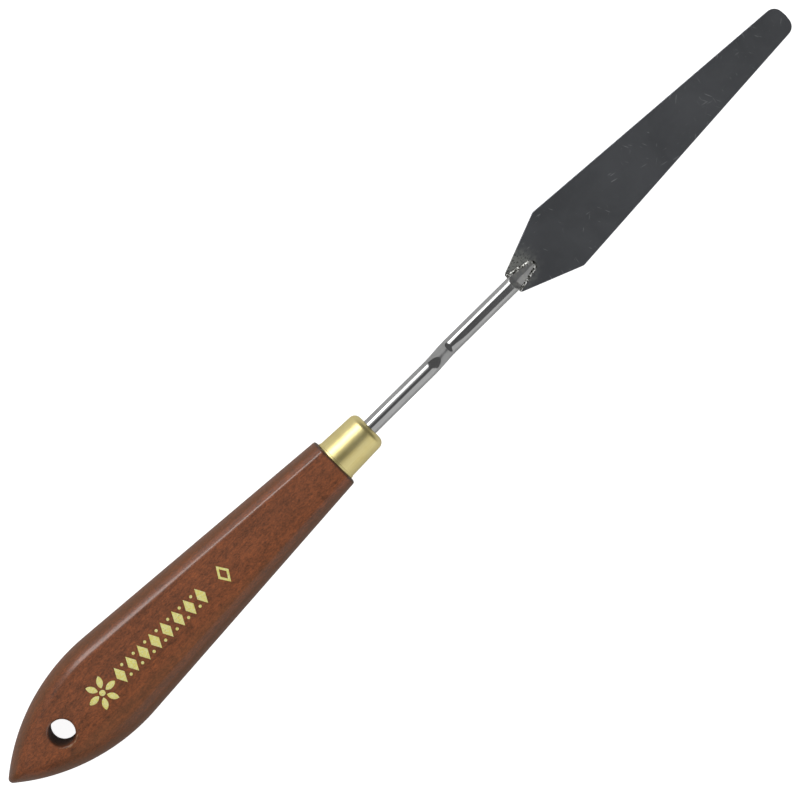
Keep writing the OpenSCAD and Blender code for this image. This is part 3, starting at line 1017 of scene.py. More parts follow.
class Handle:
    """The stamped wooden handle with its foil."""

    nose_steps, side_steps, taper_steps, corner_steps, end_steps = 6, 64, 36, 4, 6
    bulge_steps, arris_steps, tenon_steps, rim_steps, wall_steps, facets = 24, 10, 6, 5, 6, 96
    petal_steps, dot_facets, upright = 10, 20, 20.0

    def __init__(self, effects: Effects) -> None:
        """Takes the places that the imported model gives.

        Args:
            effects: The shared effects.
        """
        low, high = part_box("handle")
        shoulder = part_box("ferrule")[0].x / MM
        self.butt_x = low.x
        self.size = HandleSize(
            butt=low.x / MM, shoulder=shoulder, half_w=high.y / MM, half_t=high.z / MM,
            tenon_end=high.x / MM)
        self.length = shoulder - self.size.butt
        self.stamp = StampSize()
        self.effects = effects
        size = self.size
        rise = size.widest_at - size.butt_r
        self.side_r = (rise ** 2 + size.half_w ** 2 - size.butt_r ** 2) / (
            2.0 * (size.half_w - size.butt_r))
        self.side_c = Vector((size.widest_at, size.half_w - self.side_r))
        reach = Vector((self.length, size.neck_half)) - self.side_c
        self.taper_angle = math.atan2(reach.y, reach.x) + math.acos(self.side_r / reach.length)
        self.bulge_r = (size.half_t ** 2 + size.bulge_rise ** 2) / (2.0 * size.bulge_rise)

    def build(self) -> List[bpy.types.Object]:
        """Builds and dresses the wood and its foil.

        Returns:
            The wood and the foil.
        """
        wood = self._wood()
        for cutter in (self._hole_cutter(), self._tang_cutter(), self._stamp_cutter()):
            combine(wood, cutter, Combine.CARVE)
        flatten_faces(wood)
        weight_normals(wood)
        wood.data.materials.append(LacqueredWood().build(self.effects, self.size))
        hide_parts("handle")
        foil = self._foil()
        foil.data.materials.append(GoldFoil().build(self.effects))
        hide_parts("foil_stamp")
        return [wood, foil]

    def _ring(self, bm: bmesh.types.BMesh, inset: float, height: float) -> List[bmesh.types.BMEdge]:
        """Draws the handle's outline, moved inwards by inset, at one height.

        Args:
            bm: The mesh.
            inset: How far the outline is moved inwards.
            height: Its height above the middle of the wood.

        Returns:
            The edges of the loop.
        """
        size = self.size
        over = max(0.0, abs(height) - size.half_t + size.shoulder_r)
        drawn_back = size.shoulder_r - math.sqrt(max(0.0, size.shoulder_r ** 2 - over ** 2))
        radius = self.side_r - inset
        nose_x = self.side_c.x - math.sqrt((radius - size.butt_r) ** 2 - self.side_c.y ** 2)
        meets = math.degrees(math.atan2(-self.side_c.y, nose_x - self.side_c.x))
        corner = (self.length - drawn_back,
                  size.neck_half - inset * size.neck_bulge / math.sin(self.taper_angle))
        pen = Pen(bm, (nose_x - size.butt_r, 0.0))
        pen.arc((nose_x, 0.0), meets - 180.0, self.nose_steps)
        pen.arc(self.side_c, math.degrees(self.taper_angle) - meets, self.side_steps)
        pen.round_corner(corner, (corner[0], 0.0), size.shoulder_r, self.corner_steps,
                         self.taper_steps)
        pen.line((corner[0], 0.0), self.end_steps)
        loop = both_sides(pen)
        bmesh.ops.translate(bm, verts=pen.strokes()[0], vec=(0.0, 0.0, height))
        return loop

    def _section(self) -> List[Tuple[float, float]]:
        """Returns the bulged side as (inset, height) pairs from the lower face to the upper one.

        Returns:
            The pairs, in millimetres.
        """
        size, r = self.size, self.size.arris_r
        top = math.asin((size.half_t - r) / (self.bulge_r - r))
        centre = self.bulge_r - (self.bulge_r - r) * math.cos(top)
        upper = []
        for i in range(self.arris_steps):
            turn = math.pi / 2.0 - (math.pi / 2.0 - top) * i / self.arris_steps
            upper.append((centre - r * math.cos(turn), size.half_t - r + r * math.sin(turn)))
        for i in range(self.bulge_steps // 2):
            turn = top * (1.0 - 2.0 * i / self.bulge_steps)
            upper.append((self.bulge_r * (1.0 - math.cos(turn)), self.bulge_r * math.sin(turn)))
        return [(a, -z) for a, z in upper] + [(0.0, 0.0)] + upper[::-1]

    def _wood(self) -> bpy.types.Object:
        """Bridges a stack of outlines into the handle's skin and adds the tenon.

        Returns:
            The wood, before anything is cut out of it.
        """
        bm = bmesh.new()
        loops = [self._ring(bm, inset, height) for inset, height in self._section()]
        for below, above in zip(loops, loops[1:]):
            bmesh.ops.bridge_loops(bm, edges=below + above)
        for loop in (loops[0], loops[-1]):
            bmesh.ops.contextual_create(bm, geom=loop)
        bmesh.ops.recalc_face_normals(bm, faces=bm.faces)
        wood = finish_mesh(bm, "handle_wood", self.butt_x, 40.0)
        combine(wood, self._tenon(), Combine.UNITE)
        return wood

    def _tenon(self) -> bpy.types.Object:
        """Turns the tapered end that the ferrule is pressed on.

        Returns:
            The tenon.
        """
        size = self.size
        bm = bmesh.new()
        end = size.tenon_end - size.butt
        root = self.length - size.tenon_root
        end_r = size.tenon_r - size.tenon_taper
        pen = Pen(bm, (root, 0.0))
        pen.line((root, size.tenon_r))
        pen.round_corner((end, end_r), (end, 0.0), size.tenon_end_r, self.tenon_steps)
        pen.line((end, 0.0))
        turn_round(bm, pen, self.facets, AHEAD)
        return finish_mesh(bm, "tenon", self.butt_x)

    def _hole_cutter(self) -> bpy.types.Object:
        """Turns the shape of the hang hole, which opens out over its eased rims.

        Returns:
            The cutter.
        """
        size = self.size
        mouth = size.hole_r + size.hole_ease
        top = size.half_t + CLEAR
        bm = bmesh.new()
        pen = Pen(bm, (0.0, -top))
        pen.line((mouth, -top))
        pen.line((mouth, -size.half_t))
        pen.arc((mouth, size.hole_ease - size.half_t), -90.0, self.rim_steps)
        pen.line((size.hole_r, size.half_t - size.hole_ease), self.wall_steps)
        pen.arc((mouth, size.half_t - size.hole_ease), -90.0, self.rim_steps)
        pen.line((mouth, top))
        pen.line((0.0, top))
        turn_round(bm, pen, self.facets, ACROSS)
        bmesh.ops.rotate(bm, verts=bm.verts, cent=(0.0, 0.0, 0.0),
                         matrix=Matrix.Rotation(math.pi / 2.0, 3, "X"))
        return finish_mesh(bm, "hole_cutter")

    def _tang_cutter(self) -> bpy.types.Object:
        """Turns the bore for the tang, with the cone that a drill leaves.

        Returns:
            The cutter.
        """
        size = self.size
        start = self.length - size.tang_len
        cone = size.tang_bore_r / math.tan(math.radians(size.drill_half_angle))
        past = size.tenon_end - size.butt + CLEAR
        bm = bmesh.new()
        pen = Pen(bm, (start - cone, 0.0))
        pen.line((start, size.tang_bore_r))
        pen.line((past, size.tang_bore_r))
        pen.line((past, 0.0))
        turn_round(bm, pen, self.facets, AHEAD)
        return finish_mesh(bm, "tang_cutter", self.butt_x)

    def _petal(self, bm: bmesh.types.BMesh, length: float, width: float, grow: float,
               at: float) -> bmesh.types.BMFace:
        """Draws a pointed petal along X, centred on at and grown by grow.

        Args:
            bm: The mesh.
            length: Its length along X.
            width: Its width along Y.
            grow: How far the outline is grown, in millimetres.
            at: The X of its middle.

        Returns:
            The petal's face.
        """
        radius = (length ** 2 + width ** 2) / (4.0 * width)
        drop = radius - width / 2.0
        radius += grow
        tip = math.sqrt(radius ** 2 - drop ** 2)
        sweep = 2.0 * math.degrees(math.asin(tip / radius))
        pen = Pen(bm, (at - tip, 0.0))
        pen.arc((at, -drop), -sweep, self.petal_steps)
        pen.arc((at, drop), -sweep, self.petal_steps)
        return pen.close()

    @staticmethod
    def _lozenge(bm: bmesh.types.BMesh, length: float, width: float, grow: float,
                 at: float) -> bmesh.types.BMFace:
        """Draws a lozenge, grown by grow.

        Args:
            bm: The mesh.
            length: Its length along X.
            width: Its width along Y.
            grow: How far the outline is grown, in millimetres.
            at: The X of its middle.

        Returns:
            The lozenge's face.
        """
        a, b = length / 2.0, width / 2.0
        share = 1.0 + grow * math.hypot(a, b) / (a * b)
        pen = Pen(bm, (at - a * share, 0.0))
        for x, y in ((0.0, b), (a, 0.0), (0.0, -b)):
            pen.line((at + x * share, y * share))
        return pen.close()

    def _marks(self, bm: bmesh.types.BMesh, grow: float) -> None:
        """Draws the plan of every mark, grown by grow.

        Args:
            bm: The mesh.
            grow: How far the outline is grown, in millimetres.
        """
        stamp, at = self.stamp, self.stamp.rosette_at
        face = self._petal(bm, stamp.petal_len, stamp.petal_len / 2.0, grow,
                           at + (stamp.rosette_d - stamp.petal_len) / 2.0)
        whole = [face] + list(face.edges) + list(face.verts)
        more = stamp.petals - 1
        bmesh.ops.spin(bm, geom=whole, cent=(at, 0.0, 0.0), axis=UP, steps=more,
                       angle=2.0 * math.pi * more / stamp.petals, use_duplicate=True)
        dots = [(at, 0.0, stamp.hub_r)]
        row = at + stamp.rosette_d / 2.0 + stamp.pitch / 2.0
        for i in range(stamp.lozenge_count):
            self._lozenge(bm, stamp.lozenge_len, stamp.row_w, grow, row + i * stamp.pitch)
        for i in range(stamp.lozenge_count - 1):
            for side in (-1.0, 1.0):
                dots.append((row + (i + 0.5) * stamp.pitch, side * stamp.dot_off, stamp.dot_r))
        for x, y, radius in dots:
            bmesh.ops.create_circle(bm, cap_ends=True, segments=self.dot_facets,
                                    radius=radius + grow,
                                    matrix=Matrix.Translation((x, y, 0.0)))
        last = row + stamp.lozenge_count * stamp.pitch + stamp.last_gap
        outer = self._lozenge(bm, *stamp.last_outer, grow, last)
        inner = self._lozenge(bm, *stamp.last_inner, -grow, last)
        edges = list(outer.edges) + list(inner.edges)
        bmesh.ops.delete(bm, geom=[outer, inner], context="FACES_ONLY")
        bmesh.ops.bridge_loops(bm, edges=edges)

    def _rim(self, bm: bmesh.types.BMesh, height: float) -> List[bmesh.types.BMEdge]:
        """Returns the sharp edges of the raised marks that lie at one height."""
        return [e for e in face_edges(bm.edges, self.upright)
                if all(abs(v.co.z - height) < TOUCHING for v in e.verts)]

    def _stamp_cutter(self) -> bpy.types.Object:
        """Raises the marks into a punch whose lower edges slope in.

        Returns:
            The cutter.
        """
        stamp = self.stamp
        bm = bmesh.new()
        self._marks(bm, stamp.slope)
        raise_faces(bm, bm.faces[:], CLEAR)
        ease(bm, self._rim(bm, 0.0), stamp.slope, 1)
        bmesh.ops.translate(bm, verts=bm.verts, vec=(0.0, 0.0, self.size.half_t - stamp.depth))
        bmesh.ops.recalc_face_normals(bm, faces=bm.faces)
        return finish_mesh(bm, "stamp_cutter", self.butt_x)

    def _foil(self) -> bpy.types.Object:
        """Makes the foil that lies at the bottom of the marks, softly rounded at its edges.

        Returns:
            The foil.
        """
        stamp = self.stamp
        bm = bmesh.new()
        self._marks(bm, 0.0)
        raise_faces(bm, bm.faces[:], stamp.foil)
        ease(bm, self._rim(bm, stamp.foil), 0.5 * stamp.foil, 2)
        bmesh.ops.translate(bm, verts=bm.verts, vec=(0.0, 0.0, self.size.half_t - stamp.depth))
        return finish_mesh(bm, "foil_marks", self.butt_x)


@dataclass
class FerruleSize:
    """Sizes of the drawn cap in millimetres."""

    back_r: float = 4.55
    front_r: float = 4.2
    wall: float = 0.45
    nose_r: float = 1.5
    lip_h: float = 0.12
    lip_w: float = 0.50
    lip_bite: float = 0.05
    lip_waves: float = 6.0
    hole_r: float = 1.78
    hole_ease: float = 0.12


class Ferrule:
    """The drawn brass cap between the wood and the shank."""

    lip_steps, wall_steps, nose_steps, hole_steps, inside_steps, facets = 5, 12, 14, 4, 8, 160

    def __init__(self, effects: Effects) -> None:
        """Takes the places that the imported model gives.

        Args:
            effects: The shared effects.
        """
        low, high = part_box("ferrule")
        self.start_x = low.x
        self.length = (high.x - low.x) / MM
        self.size = FerruleSize()
        self.effects = effects

    def build(self) -> List[bpy.types.Object]:
        """Builds and dresses the ferrule.

        Returns:
            The ferrule.
        """
        size, length = self.size, self.length
        inner = length - size.wall
        bm = bmesh.new()
        pen = Pen(bm, (0.0, size.back_r - size.wall))
        pen.line((0.0, size.back_r))
        pen.arc((size.lip_h, size.back_r), -90.0, self.lip_steps)
        pen.line((size.lip_w - size.lip_h, size.back_r + size.lip_h), 2)
        pen.arc((size.lip_w - size.lip_h, size.back_r), -90.0, self.lip_steps)
        pen.round_corner((length, size.front_r), (length, 0.0), size.nose_r, self.nose_steps,
                         self.wall_steps)
        pen.round_corner((length, size.hole_r), (inner, size.hole_r), size.hole_ease,
                         self.hole_steps)
        pen.line((inner, size.hole_r))
        pen.round_corner((inner, size.front_r - size.wall), (0.0, size.back_r - size.wall),
                         size.nose_r - size.wall, self.inside_steps)
        bm.edges.new((pen.tip, pen.first))
        turn_round(bm, pen, self.facets, AHEAD)
        self._press_lip(bm)
        cap = finish_mesh(bm, "ferrule_cap", self.start_x, 50.0)
        brass = DrawnMetal("ferrule_brass", colour=(0.98, 0.86, 0.42), shade=(0.90, 0.75, 0.31),
                           roughness=0.37, line_fineness=3.2, line_depth=0.012)
        cap.data.materials.append(brass.build(self.effects))
        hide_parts("ferrule")
        return [cap]

    def _press_lip(self, bm: bmesh.types.BMesh) -> None:
        """Makes the rolled lip slightly uneven, as pressing it on the wood does.

        Args:
            bm: The mesh.
        """
        size = self.size
        for vert in bm.verts:
            in_reach = size.lip_h < vert.co.x < size.lip_w + TOUCHING
            if in_reach and vert.co.yz.length > size.back_r - size.lip_h:
                around = Vector((vert.co.y, vert.co.z, 0.0)).normalized() * size.lip_waves
                vert.co.x += size.lip_bite * (0.5 + 0.5 * noise.noise(around))


@dataclass
class ShankSize:
    """Sizes of the rod and its forged point, in millimetres and degrees.

    Attributes:
        near_point: Where the fine facets of the point begin, before the blade's heel.
        step_back, step_len: Where the step down to the point begins, before the heel, and its
            length.
        point_fall, upper_fall, lower_fall: How steeply the ridge and the two facets fall.
        flat_turn, flat_half: Where the filed flat faces, and the half angle that it takes off.
        flat_run_out: The length over which the flat grows to its full depth.
        ease_from, ease_above: Where the forged edges are softened, before the heel and above the
            blade's seat.
    """

    rod_r: float = 1.7
    drop: float = 4.4
    angle: float = 45.0
    bend_r: float = 3.6
    lower_run: float = 16.0
    point_len: float = 5.6
    point_w: float = 1.1
    point_h: float = 0.6
    point_fall: float = 14.5
    step_back: float = 0.5
    step_len: float = 1.3
    upper_fall: float = 9.0
    lower_fall: float = 24.0
    flat_turn: float = 6.0
    flat_half: float = 22.0
    flat_run_out: float = 2.0
    near_point: float = 3.0
    point_ease: float = 0.11
    point_back: float = 0.6
    flare: float = 0.05
    ease_from: float = 3.2
    ease_above: float = 0.05
    blade_t: float = 0.5


@dataclass
class WeldSize:
    """Sizes of the weld bead in millimetres.

    Attributes:
        before: How far before the root of the point's side the bead begins.
        under: How far the bead lies under the point.
        lump: How high its lumps are, which large_waves, small_waves and small_share shape.
        upwards: How much the lumps lean upwards.
        foot, least: Points under foot stay, and no other point sinks under least.
    """

    width: float = 0.72
    height: float = 0.34
    before: float = 0.4
    under: float = 0.05
    lump: float = 0.11
    large_waves: float = 1.7
    small_waves: float = 4.1
    small_share: float = 0.6
    upwards: float = 0.4
    foot: float = 0.02
    least: float = 0.015


class Shank:
    """The cranked steel rod with its spear point, and the weld bead round that point."""

    upper_steps, bend_steps, slope_steps, lower_steps, point_steps, facets = 24, 14, 2, 8, 43, 72
    bead_steps, bead_run_steps, bead_end_steps = 6, 26, 12
    hard_edge, sharp = 26.0, 30.0

    def __init__(self, effects: Effects) -> None:
        """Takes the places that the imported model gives.

        Args:
            effects: The shared effects.
        """
        self.size, self.bead = ShankSize(), WeldSize()
        self.effects = effects
        self.tang_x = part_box("shank")[0].x / MM
        self.crank_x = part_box("ferrule")[1].x / MM + self.size.lower_run
        self.heel_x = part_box("blade")[0].x / MM
        self.axis_z = -self.size.drop
        self.seat_z = self.axis_z - self.size.rod_r + self.size.blade_t

    def build(self) -> List[bpy.types.Object]:
        """Builds and dresses the rod and the weld.

        Returns:
            The rod and the weld bead.
        """
        rod = self._rod()
        steel = DrawnMetal("polished_steel", colour=(0.54, 0.54, 0.535),
                           shade=(0.45, 0.45, 0.445), roughness=0.13, line_fineness=4.5,
                           line_depth=0.004)
        rod.data.materials.append(steel.build(self.effects, self.heel_x - self.size.step_back))
        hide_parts("shank")
        weld = self._weld()
        weld.data.materials.append(WeldSteel().build(self.effects))
        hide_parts("weld_fillet")
        return [rod, weld]

    def _rod(self) -> bpy.types.Object:
        """Sweeps the rod through its crank and forges its end.

        Returns:
            The rod.
        """
        size = self.size
        bm = bmesh.new()
        upright = Matrix.Rotation(math.pi / 2.0, 4, "Y")
        start = bmesh.ops.create_circle(
            bm, segments=self.facets, radius=size.rod_r,
            matrix=Matrix.Translation((self.tang_x, 0.0, 0.0)) @ upright)
        ring = linked_edges(start["verts"])
        bmesh.ops.contextual_create(bm, geom=ring)
        bend = math.radians(size.angle)
        fall = size.bend_r * (1.0 - math.cos(bend))
        slope = (size.drop - 2.0 * fall) / math.sin(bend)
        ring = self._run(bm, ring, AHEAD * (self.crank_x - self.tang_x), self.upper_steps)
        ring = self._bend(bm, ring, (self.crank_x, 0.0, -size.bend_r), ACROSS, bend,
                          self.bend_steps)
        down = Vector((math.cos(bend), 0.0, -math.sin(bend)))
        ring = self._run(bm, ring, down * slope, self.slope_steps)
        foot_x = self.crank_x + 2.0 * size.bend_r * math.sin(bend) + slope * math.cos(bend)
        ring = self._bend(bm, ring, (foot_x, 0.0, size.bend_r - size.drop), ACROSS, -bend,
                          self.bend_steps)
        left = self.heel_x - size.near_point - foot_x
        ring = self._run(bm, ring, AHEAD * left, self.lower_steps)
        ring = self._run(bm, ring, AHEAD * (size.near_point + size.point_len), self.point_steps)
        bmesh.ops.contextual_create(bm, geom=ring)
        bmesh.ops.recalc_face_normals(bm, faces=bm.faces)
        self._dress_flat(bm, foot_x)
        self._forge(bm)
        rod = finish_mesh(bm, "shank_rod", 0.0, self.sharp)
        combine(rod, self._notch_cutter(), Combine.CARVE)
        self._ease_point(rod)
        weight_normals(rod)
        return rod

    def _dress_flat(self, bm: bmesh.types.BMesh, start_x: float) -> None:
        """Files a shallow flat along the top of the run that leads to the blade.

        Args:
            bm: The mesh.
            start_x: Where the flat begins to grow.
        """
        size = self.size
        turn = math.radians(size.flat_turn)
        out = Vector((0.0, -math.sin(turn), math.cos(turn)))
        full = size.rod_r * (1.0 - math.cos(math.radians(size.flat_half)))
        for vert in bm.verts:
            if vert.co.x > start_x:
                share = min(1.0, (vert.co.x - start_x) / size.flat_run_out)
                reach = (vert.co - UP * self.axis_z).dot(out)
                vert.co -= out * max(0.0, reach - size.rod_r + full * share)

    @staticmethod
    def _run(bm: bmesh.types.BMesh, ring: List[bmesh.types.BMEdge], along: Vector,
             steps: int) -> List[bmesh.types.BMEdge]:
        """Extrudes the open end of a rod or a bead straight on, and returns its new end.

        Args:
            bm: The mesh.
            ring: The edges of the open end.
            along: The whole move.
            steps: How many equal rings it takes.

        Returns:
            The edges of the new end.
        """
        for _ in range(steps):
            grown = bmesh.ops.extrude_edge_only(bm, edges=ring)["geom"]
            verts = [v for v in grown if isinstance(v, bmesh.types.BMVert)]
            ring = [e for e in grown if isinstance(e, bmesh.types.BMEdge)
                    and all(v in verts for v in e.verts)]
            bmesh.ops.translate(bm, verts=verts, vec=along / steps)
        return ring

    @staticmethod
    def _bend(bm: bmesh.types.BMesh, ring: List[bmesh.types.BMEdge], centre: Sequence[float],
              axis: Vector, angle: float, steps: int) -> List[bmesh.types.BMEdge]:
        """Spins the open end of a rod or a bead round a bend, and returns its new end.

        Args:
            bm: The mesh.
            ring: The edges of the open end.
            centre: The centre of the bend.
            axis: The direction of its axis.
            angle: The turn, in radians.
            steps: How many equal rings it takes.

        Returns:
            The edges of the new end.
        """
        verts = list(dict.fromkeys(v for e in ring for v in e.verts))
        swept = bmesh.ops.spin(bm, geom=verts + ring, cent=centre, axis=axis, angle=angle,
                               steps=steps, use_duplicate=False)
        return [e for e in swept["geom_last"] if isinstance(e, bmesh.types.BMEdge)]

    @staticmethod
    def _slice(bm: bmesh.types.BMesh, point: Sequence[float], outwards: Sequence[float]) -> None:
        """Cuts off everything beyond a plane and closes the cut.

        Args:
            bm: The mesh.
            point: A point on the plane.
            outwards: Its normal.
        """
        cut = bmesh.ops.bisect_plane(
            bm, geom=bm.verts[:] + bm.edges[:] + bm.faces[:], dist=1e-6, plane_co=point,
            plane_no=outwards, clear_outer=True)["geom_cut"]
        edges = [e for e in cut if isinstance(e, bmesh.types.BMEdge)]
        bmesh.ops.contextual_create(bm, geom=edges)

    def _side(self) -> Tuple[Vector, Vector, float]:
        """Returns a point on the spear's upper side, its outward normal, and its lean in radians.

        Returns:
            The point, the normal and the lean.
        """
        size = self.size
        tip = Vector((self.heel_x + size.point_len - size.point_w / 2.0, 0.0, 0.0))
        root = Vector((self.heel_x - size.point_back, size.rod_r + size.flare, 0.0))
        side = tip - root
        lean = math.atan2(side.y, side.x) + math.asin(size.point_w / 2.0 / side.length)
        return root, Vector((-math.sin(lean), math.cos(lean), 0.0)), lean

    def _forge(self, bm: bmesh.types.BMesh) -> None:
        """Presses the two upper facets of the spear point and cuts its two sides.

        Args:
            bm: The mesh.
        """
        size = self.size
        fall = math.tan(math.radians(size.point_fall))
        upper, lower = (math.tan(math.radians(a)) for a in (size.upper_fall, size.lower_fall))
        end_x, end_z = self.heel_x + size.point_len, self.seat_z + size.point_h
        for vert in bm.verts:
            past = (vert.co.x - self.heel_x + size.step_back) / size.step_len
            if past > 0.0:
                top = end_z + (end_x - vert.co.x) * fall
                left = self.axis_z + size.rod_r - top
                top += left * max(0.0, 1.0 - past) ** 2
                tilt = upper if vert.co.y > 0.0 else lower
                vert.co.z = min(vert.co.z, top - abs(vert.co.y) * tilt * min(1.0, past))
        root, out, _ = self._side()
        for way in (1.0, -1.0):
            self._slice(bm, (root.x, way * root.y, 0.0), (out.x, way * out.y, 0.0))
        bmesh.ops.recalc_face_normals(bm, faces=bm.faces)

    def _notch_cutter(self) -> bpy.types.Object:
        """Makes the block that cuts the flat for the blade into the underside of the point.

        Returns:
            The cutter.
        """
        size = self.size
        bm = bmesh.new()
        deep = 4.0 * size.rod_r
        bmesh.ops.create_cube(bm, size=1.0, matrix=Matrix.Translation(
            (self.heel_x + deep, 0.0, self.seat_z - deep / 2.0)) @ Matrix.Diagonal(
                (2.0 * deep, deep, deep, 1.0)))
        return finish_mesh(bm, "notch_cutter")

    def _ease_point(self, rod: bpy.types.Object) -> None:
        """Softens the forged edges of the point.

        Args:
            rod: The rod, whose mesh is already in metres.
        """
        size = self.size
        bm = bmesh.new()
        bm.from_mesh(rod.data)
        bmesh.ops.scale(bm, verts=bm.verts, vec=(1.0 / MM,) * 3)
        bmesh.ops.remove_doubles(bm, verts=bm.verts, dist=1e-4)
        edges = [e for e in face_edges(bm.edges, self.hard_edge)
                 if min(v.co.x for v in e.verts) > self.heel_x - size.ease_from
                 and min(v.co.z for v in e.verts) > self.seat_z + size.ease_above]
        ease(bm, edges, size.point_ease)
        bmesh.ops.scale(bm, verts=bm.verts, vec=(MM,) * 3)
        bm.to_mesh(rod.data)
        bm.free()
        for polygon in rod.data.polygons:
            polygon.use_smooth = True
        rod.data.set_sharp_from_angle(angle=math.radians(self.sharp))

    def _weld(self) -> bpy.types.Object:
        """Runs a lumpy bead along the foot of the point, from the heel round its end and back.

        Returns:
            The bead.
        """
        size, bead = self.size, self.bead
        root, out, lean = self._side()
        tip = Vector((self.heel_x + size.point_len - size.point_w / 2.0, 0.0, self.seat_z))
        along = Vector((math.cos(lean), math.sin(lean), 0.0))
        start = root - along * bead.before
        start.z = self.seat_z
        bm = bmesh.new()
        corner = bm.verts.new(start - out * bead.under)
        last = bm.verts.new(corner.co + UP * bead.height)
        bm.edges.new((corner, last))
        for i in range(1, self.bead_steps + 1):
            turn = math.pi / 2.0 * i / self.bead_steps
            last = bmesh.ops.extrude_vert_indiv(bm, verts=[last])["verts"][0]
            last.co = start + out * (bead.width * math.sin(turn)) + UP * (
                bead.height * math.cos(turn))
        bm.edges.new((last, corner))
        section = bm.edges[:]
        bmesh.ops.contextual_create(bm, geom=section)
        run = (tip + out * (size.point_w / 2.0) - start).dot(along)
        section = self._run(bm, section, along * run, self.bead_run_steps)
        section = self._bend(bm, section, tip, UP, -(math.pi + 2.0 * lean), self.bead_end_steps)
        back = Vector((-along.x, along.y, 0.0))
        section = self._run(bm, section, back * run, self.bead_run_steps)
        bmesh.ops.contextual_create(bm, geom=section)
        bmesh.ops.recalc_face_normals(bm, faces=bm.faces)
        self._slice(bm, (self.heel_x, 0.0, 0.0), (-1.0, 0.0, 0.0))
        for vert in bm.verts:
            if vert.co.z > self.seat_z + bead.foot:
                lump = noise.noise(vert.co * bead.large_waves)
                lump += bead.small_share * noise.noise(vert.co * bead.small_waves)
                vert.co += (vert.normal + UP * bead.upwards) * bead.lump * lump
                vert.co.z = max(vert.co.z, self.seat_z + bead.least)
        return finish_mesh(bm, "weld_bead", 0.0, 60.0)


@dataclass
class BladeSize:
    """Sizes of the spring blade in millimetres, along X from its heel.

    Attributes:
        full_to: Where the grinding starts.
        grind_past: How far past the tip the sheet would reach tip_thick.
    """

    thick: float = 0.5
    tip_thick: float = 0.35
    full_to: float = 8.1
    grind_past: float = 1.0
    heel_w: float = 4.9
    heel_r: float = 0.7
    shoulder_at: float = 12.9
    shoulder_half_w: float = 7.5
    shoulder_r: float = 1.4
    tip_w: float = 6.1
    tip_r: float = 2.2
    tip_bow: float = 0.3
    edge_r: float = 0.11


class Blade:
    """The trowel-shaped spring blade."""

    corner_steps, tip_steps, grind_steps = 12, 2, 35
    upright = 60.0

    def __init__(self, effects: Effects) -> None:
        """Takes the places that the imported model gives.

        Args:
            effects: The shared effects.
        """
        low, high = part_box("blade")
        self.heel_x = low.x
        self.length = (high.x - low.x) / MM
        self.floor_z = low.z / MM
        self.size = BladeSize()
        self.effects = effects

    def build(self) -> List[bpy.types.Object]:
        """Builds and dresses the blade.

        Returns:
            The blade.
        """
        size = self.size
        bm = bmesh.new()
        edge_x = self.length - size.tip_bow
        pen = Pen(bm, (0.0, 0.0))
        points = [((0.0, size.heel_w / 2.0), size.heel_r),
                  ((size.shoulder_at, size.shoulder_half_w), size.shoulder_r),
                  ((edge_x, size.tip_w / 2.0), size.tip_r), ((self.length, 0.0), None)]
        for (corner, radius), (after, _) in zip(points, points[1:]):
            pen.round_corner(corner, after, radius, self.corner_steps)
        pen.line((self.length, 0.0), self.tip_steps)
        face = bmesh.ops.contextual_create(bm, geom=both_sides(pen))["faces"]
        raise_faces(bm, face, size.thick)
        for i in range(self.grind_steps):
            x = size.full_to + (self.length - size.full_to) * i / self.grind_steps
            bmesh.ops.bisect_plane(bm, geom=bm.verts[:] + bm.edges[:] + bm.faces[:],
                                   dist=TOUCHING, plane_co=(x, 0.0, 0.0), plane_no=AHEAD)
        for vert in bm.verts:
            if vert.co.z > size.thick / 2.0:
                ground = max(0.0, vert.co.x - size.full_to) / (
                    self.length + size.grind_past - size.full_to)
                vert.co.z = size.thick - (size.thick - size.tip_thick) * ground
        ease(bm, face_edges(bm.edges, self.upright), size.edge_r)
        bmesh.ops.translate(bm, verts=bm.verts, vec=(0.0, 0.0, self.floor_z))
        blade = finish_mesh(bm, "spring_blade", self.heel_x, 40.0)
        weight_normals(blade)
        blade.data.materials.append(BladeSteel().build(self.effects, self.heel_x / MM))
        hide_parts("blade")
        return [blade]


class TangGlue:
    """The glue round the tang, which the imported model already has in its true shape."""

    def __init__(self, effects: Effects) -> None:
        """Keeps the shared effects."""
        self.effects = effects

    def build(self) -> List[bpy.types.Object]:
        """Dresses the glue.

        Returns:
            The glue.
        """
        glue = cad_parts["tang_glue"]
        glue.data.materials.clear()
        glue.data.materials.append(CuredGlue().build(self.effects))
        return [glue]


# --- Studio -------------------------------------------------------------------------------------


@dataclass(frozen=True)
class SoftBox:
    """A soft area light that faces the knife.

    Attributes:
        tilt: Its angle from straight up, in degrees, positive towards +Y.
        distance: How far from the knife's middle it is, in metres.
        wide: Its size across, in metres.
        long: Its size along the knife, in metres.
        shine: How bright its face is.
        shift: How far it is moved along X, in metres.
        mirrored: Whether polished metal shows it.
    """

    name: str
    tilt: float
    distance: float
    wide: float
    long: float
    shine: float
    shift: float = 0.0
    mirrored: bool = True


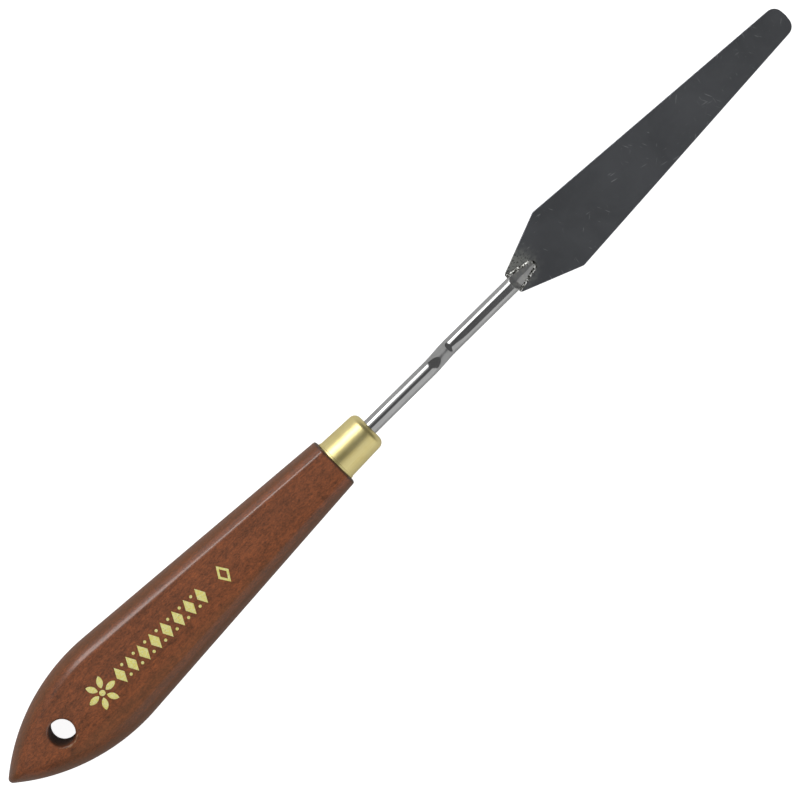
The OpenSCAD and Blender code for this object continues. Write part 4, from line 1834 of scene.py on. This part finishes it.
class Studio:
    """The table, the lights and the camera.

    Attributes:
        table_half, table_x, table_gap: Half the table's side, the X of its middle, and how far it
            lies under the knife, in metres.
        middle: The place on the knife that the lights and the camera face.
        camera_tilt: How far the camera leans towards X and Y, in degrees.
    """

    table_half, table_x, table_gap = 1.5, 0.09, 0.0003
    middle = Vector((0.09413, -0.00034, 0.0))
    camera_distance = 0.5889
    camera_tilt = (0.18, 4.48)
    camera_roll = 44.54
    lens, sensor = 132.57, 36.0
    room_colour, room_strength = (0.97, 0.98, 1.0), 0.14
    boxes = (
        SoftBox("key", 52.0, 0.9, 0.50, 0.56, 3.2, 0.03),
        SoftBox("skirt", 54.0, 0.95, 1.45, 0.60, 0.42, 0.05),
        SoftBox("fill", -58.0, 0.9, 1.28, 0.80, 0.60, 0.12),
        SoftBox("ceiling", 0.0, 1.1, 1.8, 1.8, 0.60, 0.0, False),
    )

    def build(self) -> None:
        """Builds the table, the lights and the camera."""
        self._table()
        self._lights()
        self._camera()

    def _table(self) -> None:
        """Lays the table just under the lowest point of the knife."""
        lowest = min(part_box(name)[0].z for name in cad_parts)
        bm = bmesh.new()
        bmesh.ops.create_grid(
            bm, x_segments=2, y_segments=2, size=self.table_half,
            matrix=Matrix.Translation((self.table_x, 0.0, lowest - self.table_gap)))
        mesh = bpy.data.meshes.new("table")
        bm.to_mesh(mesh)
        bm.free()
        table = bpy.data.objects.new("table", mesh)
        bpy.context.scene.collection.objects.link(table)
        mesh.materials.append(LitTable().build())

    def _lights(self) -> None:
        """Hangs the soft boxes and sets the dim room round them."""
        for box in self.boxes:
            light = bpy.data.lights.new(box.name, "AREA")
            light.shape = "RECTANGLE"
            light.size, light.size_y = box.long, box.wide
            light.energy = box.shine * math.pi * box.wide * box.long
            lamp = bpy.data.objects.new(box.name, light)
            tilt = math.radians(box.tilt)
            lamp.location = self.middle + Vector(
                (box.shift, box.distance * math.sin(tilt), box.distance * math.cos(tilt)))
            lamp.rotation_euler = (-tilt, 0.0, 0.0)
            lamp.visible_glossy = box.mirrored
            bpy.context.scene.collection.objects.link(lamp)
        world = bpy.data.worlds.new("room")
        world.use_nodes = True
        back = world.node_tree.nodes["Background"]
        back.inputs["Color"].default_value = opaque(self.room_colour)
        back.inputs["Strength"].default_value = self.room_strength
        bpy.context.scene.world = world

    def _camera(self) -> None:
        """Sets the camera over the knife."""
        lens = bpy.data.cameras.new("camera")
        lens.sensor_width = self.sensor
        lens.lens = self.lens
        camera = bpy.data.objects.new("camera", lens)
        sides = [math.sin(math.radians(a)) for a in self.camera_tilt]
        away = Vector((sides[0], sides[1], math.sqrt(1.0 - sides[0] ** 2 - sides[1] ** 2)))
        right = (-away).cross(ACROSS).normalized()
        up = away.cross(right)
        roll = math.radians(self.camera_roll)
        turned_right = math.cos(roll) * right - math.sin(roll) * up
        turned_up = math.sin(roll) * right + math.cos(roll) * up
        axes = Matrix((turned_right, turned_up, away)).transposed().to_4x4()
        camera.matrix_world = Matrix.Translation(self.middle + away * self.camera_distance) @ axes
        bpy.context.scene.collection.objects.link(camera)
        bpy.context.scene.camera = camera


def main() -> None:
    """Builds the knife piece by piece, then the studio."""
    logging.basicConfig(level=logging.INFO, format="%(message)s")
    effects = Effects()
    for part in (Handle, Ferrule, Shank, Blade, TangGlue):
        for piece in part(effects).build():
            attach(piece, "root")
            faces = len(piece.data.polygons)
            log.info("%s: %s, %d faces", part.__name__, piece.name, faces)
    Studio().build()
    scene = bpy.context.scene
    scene.view_settings.view_transform = "Standard"


if __name__ == "__main__":
    main()
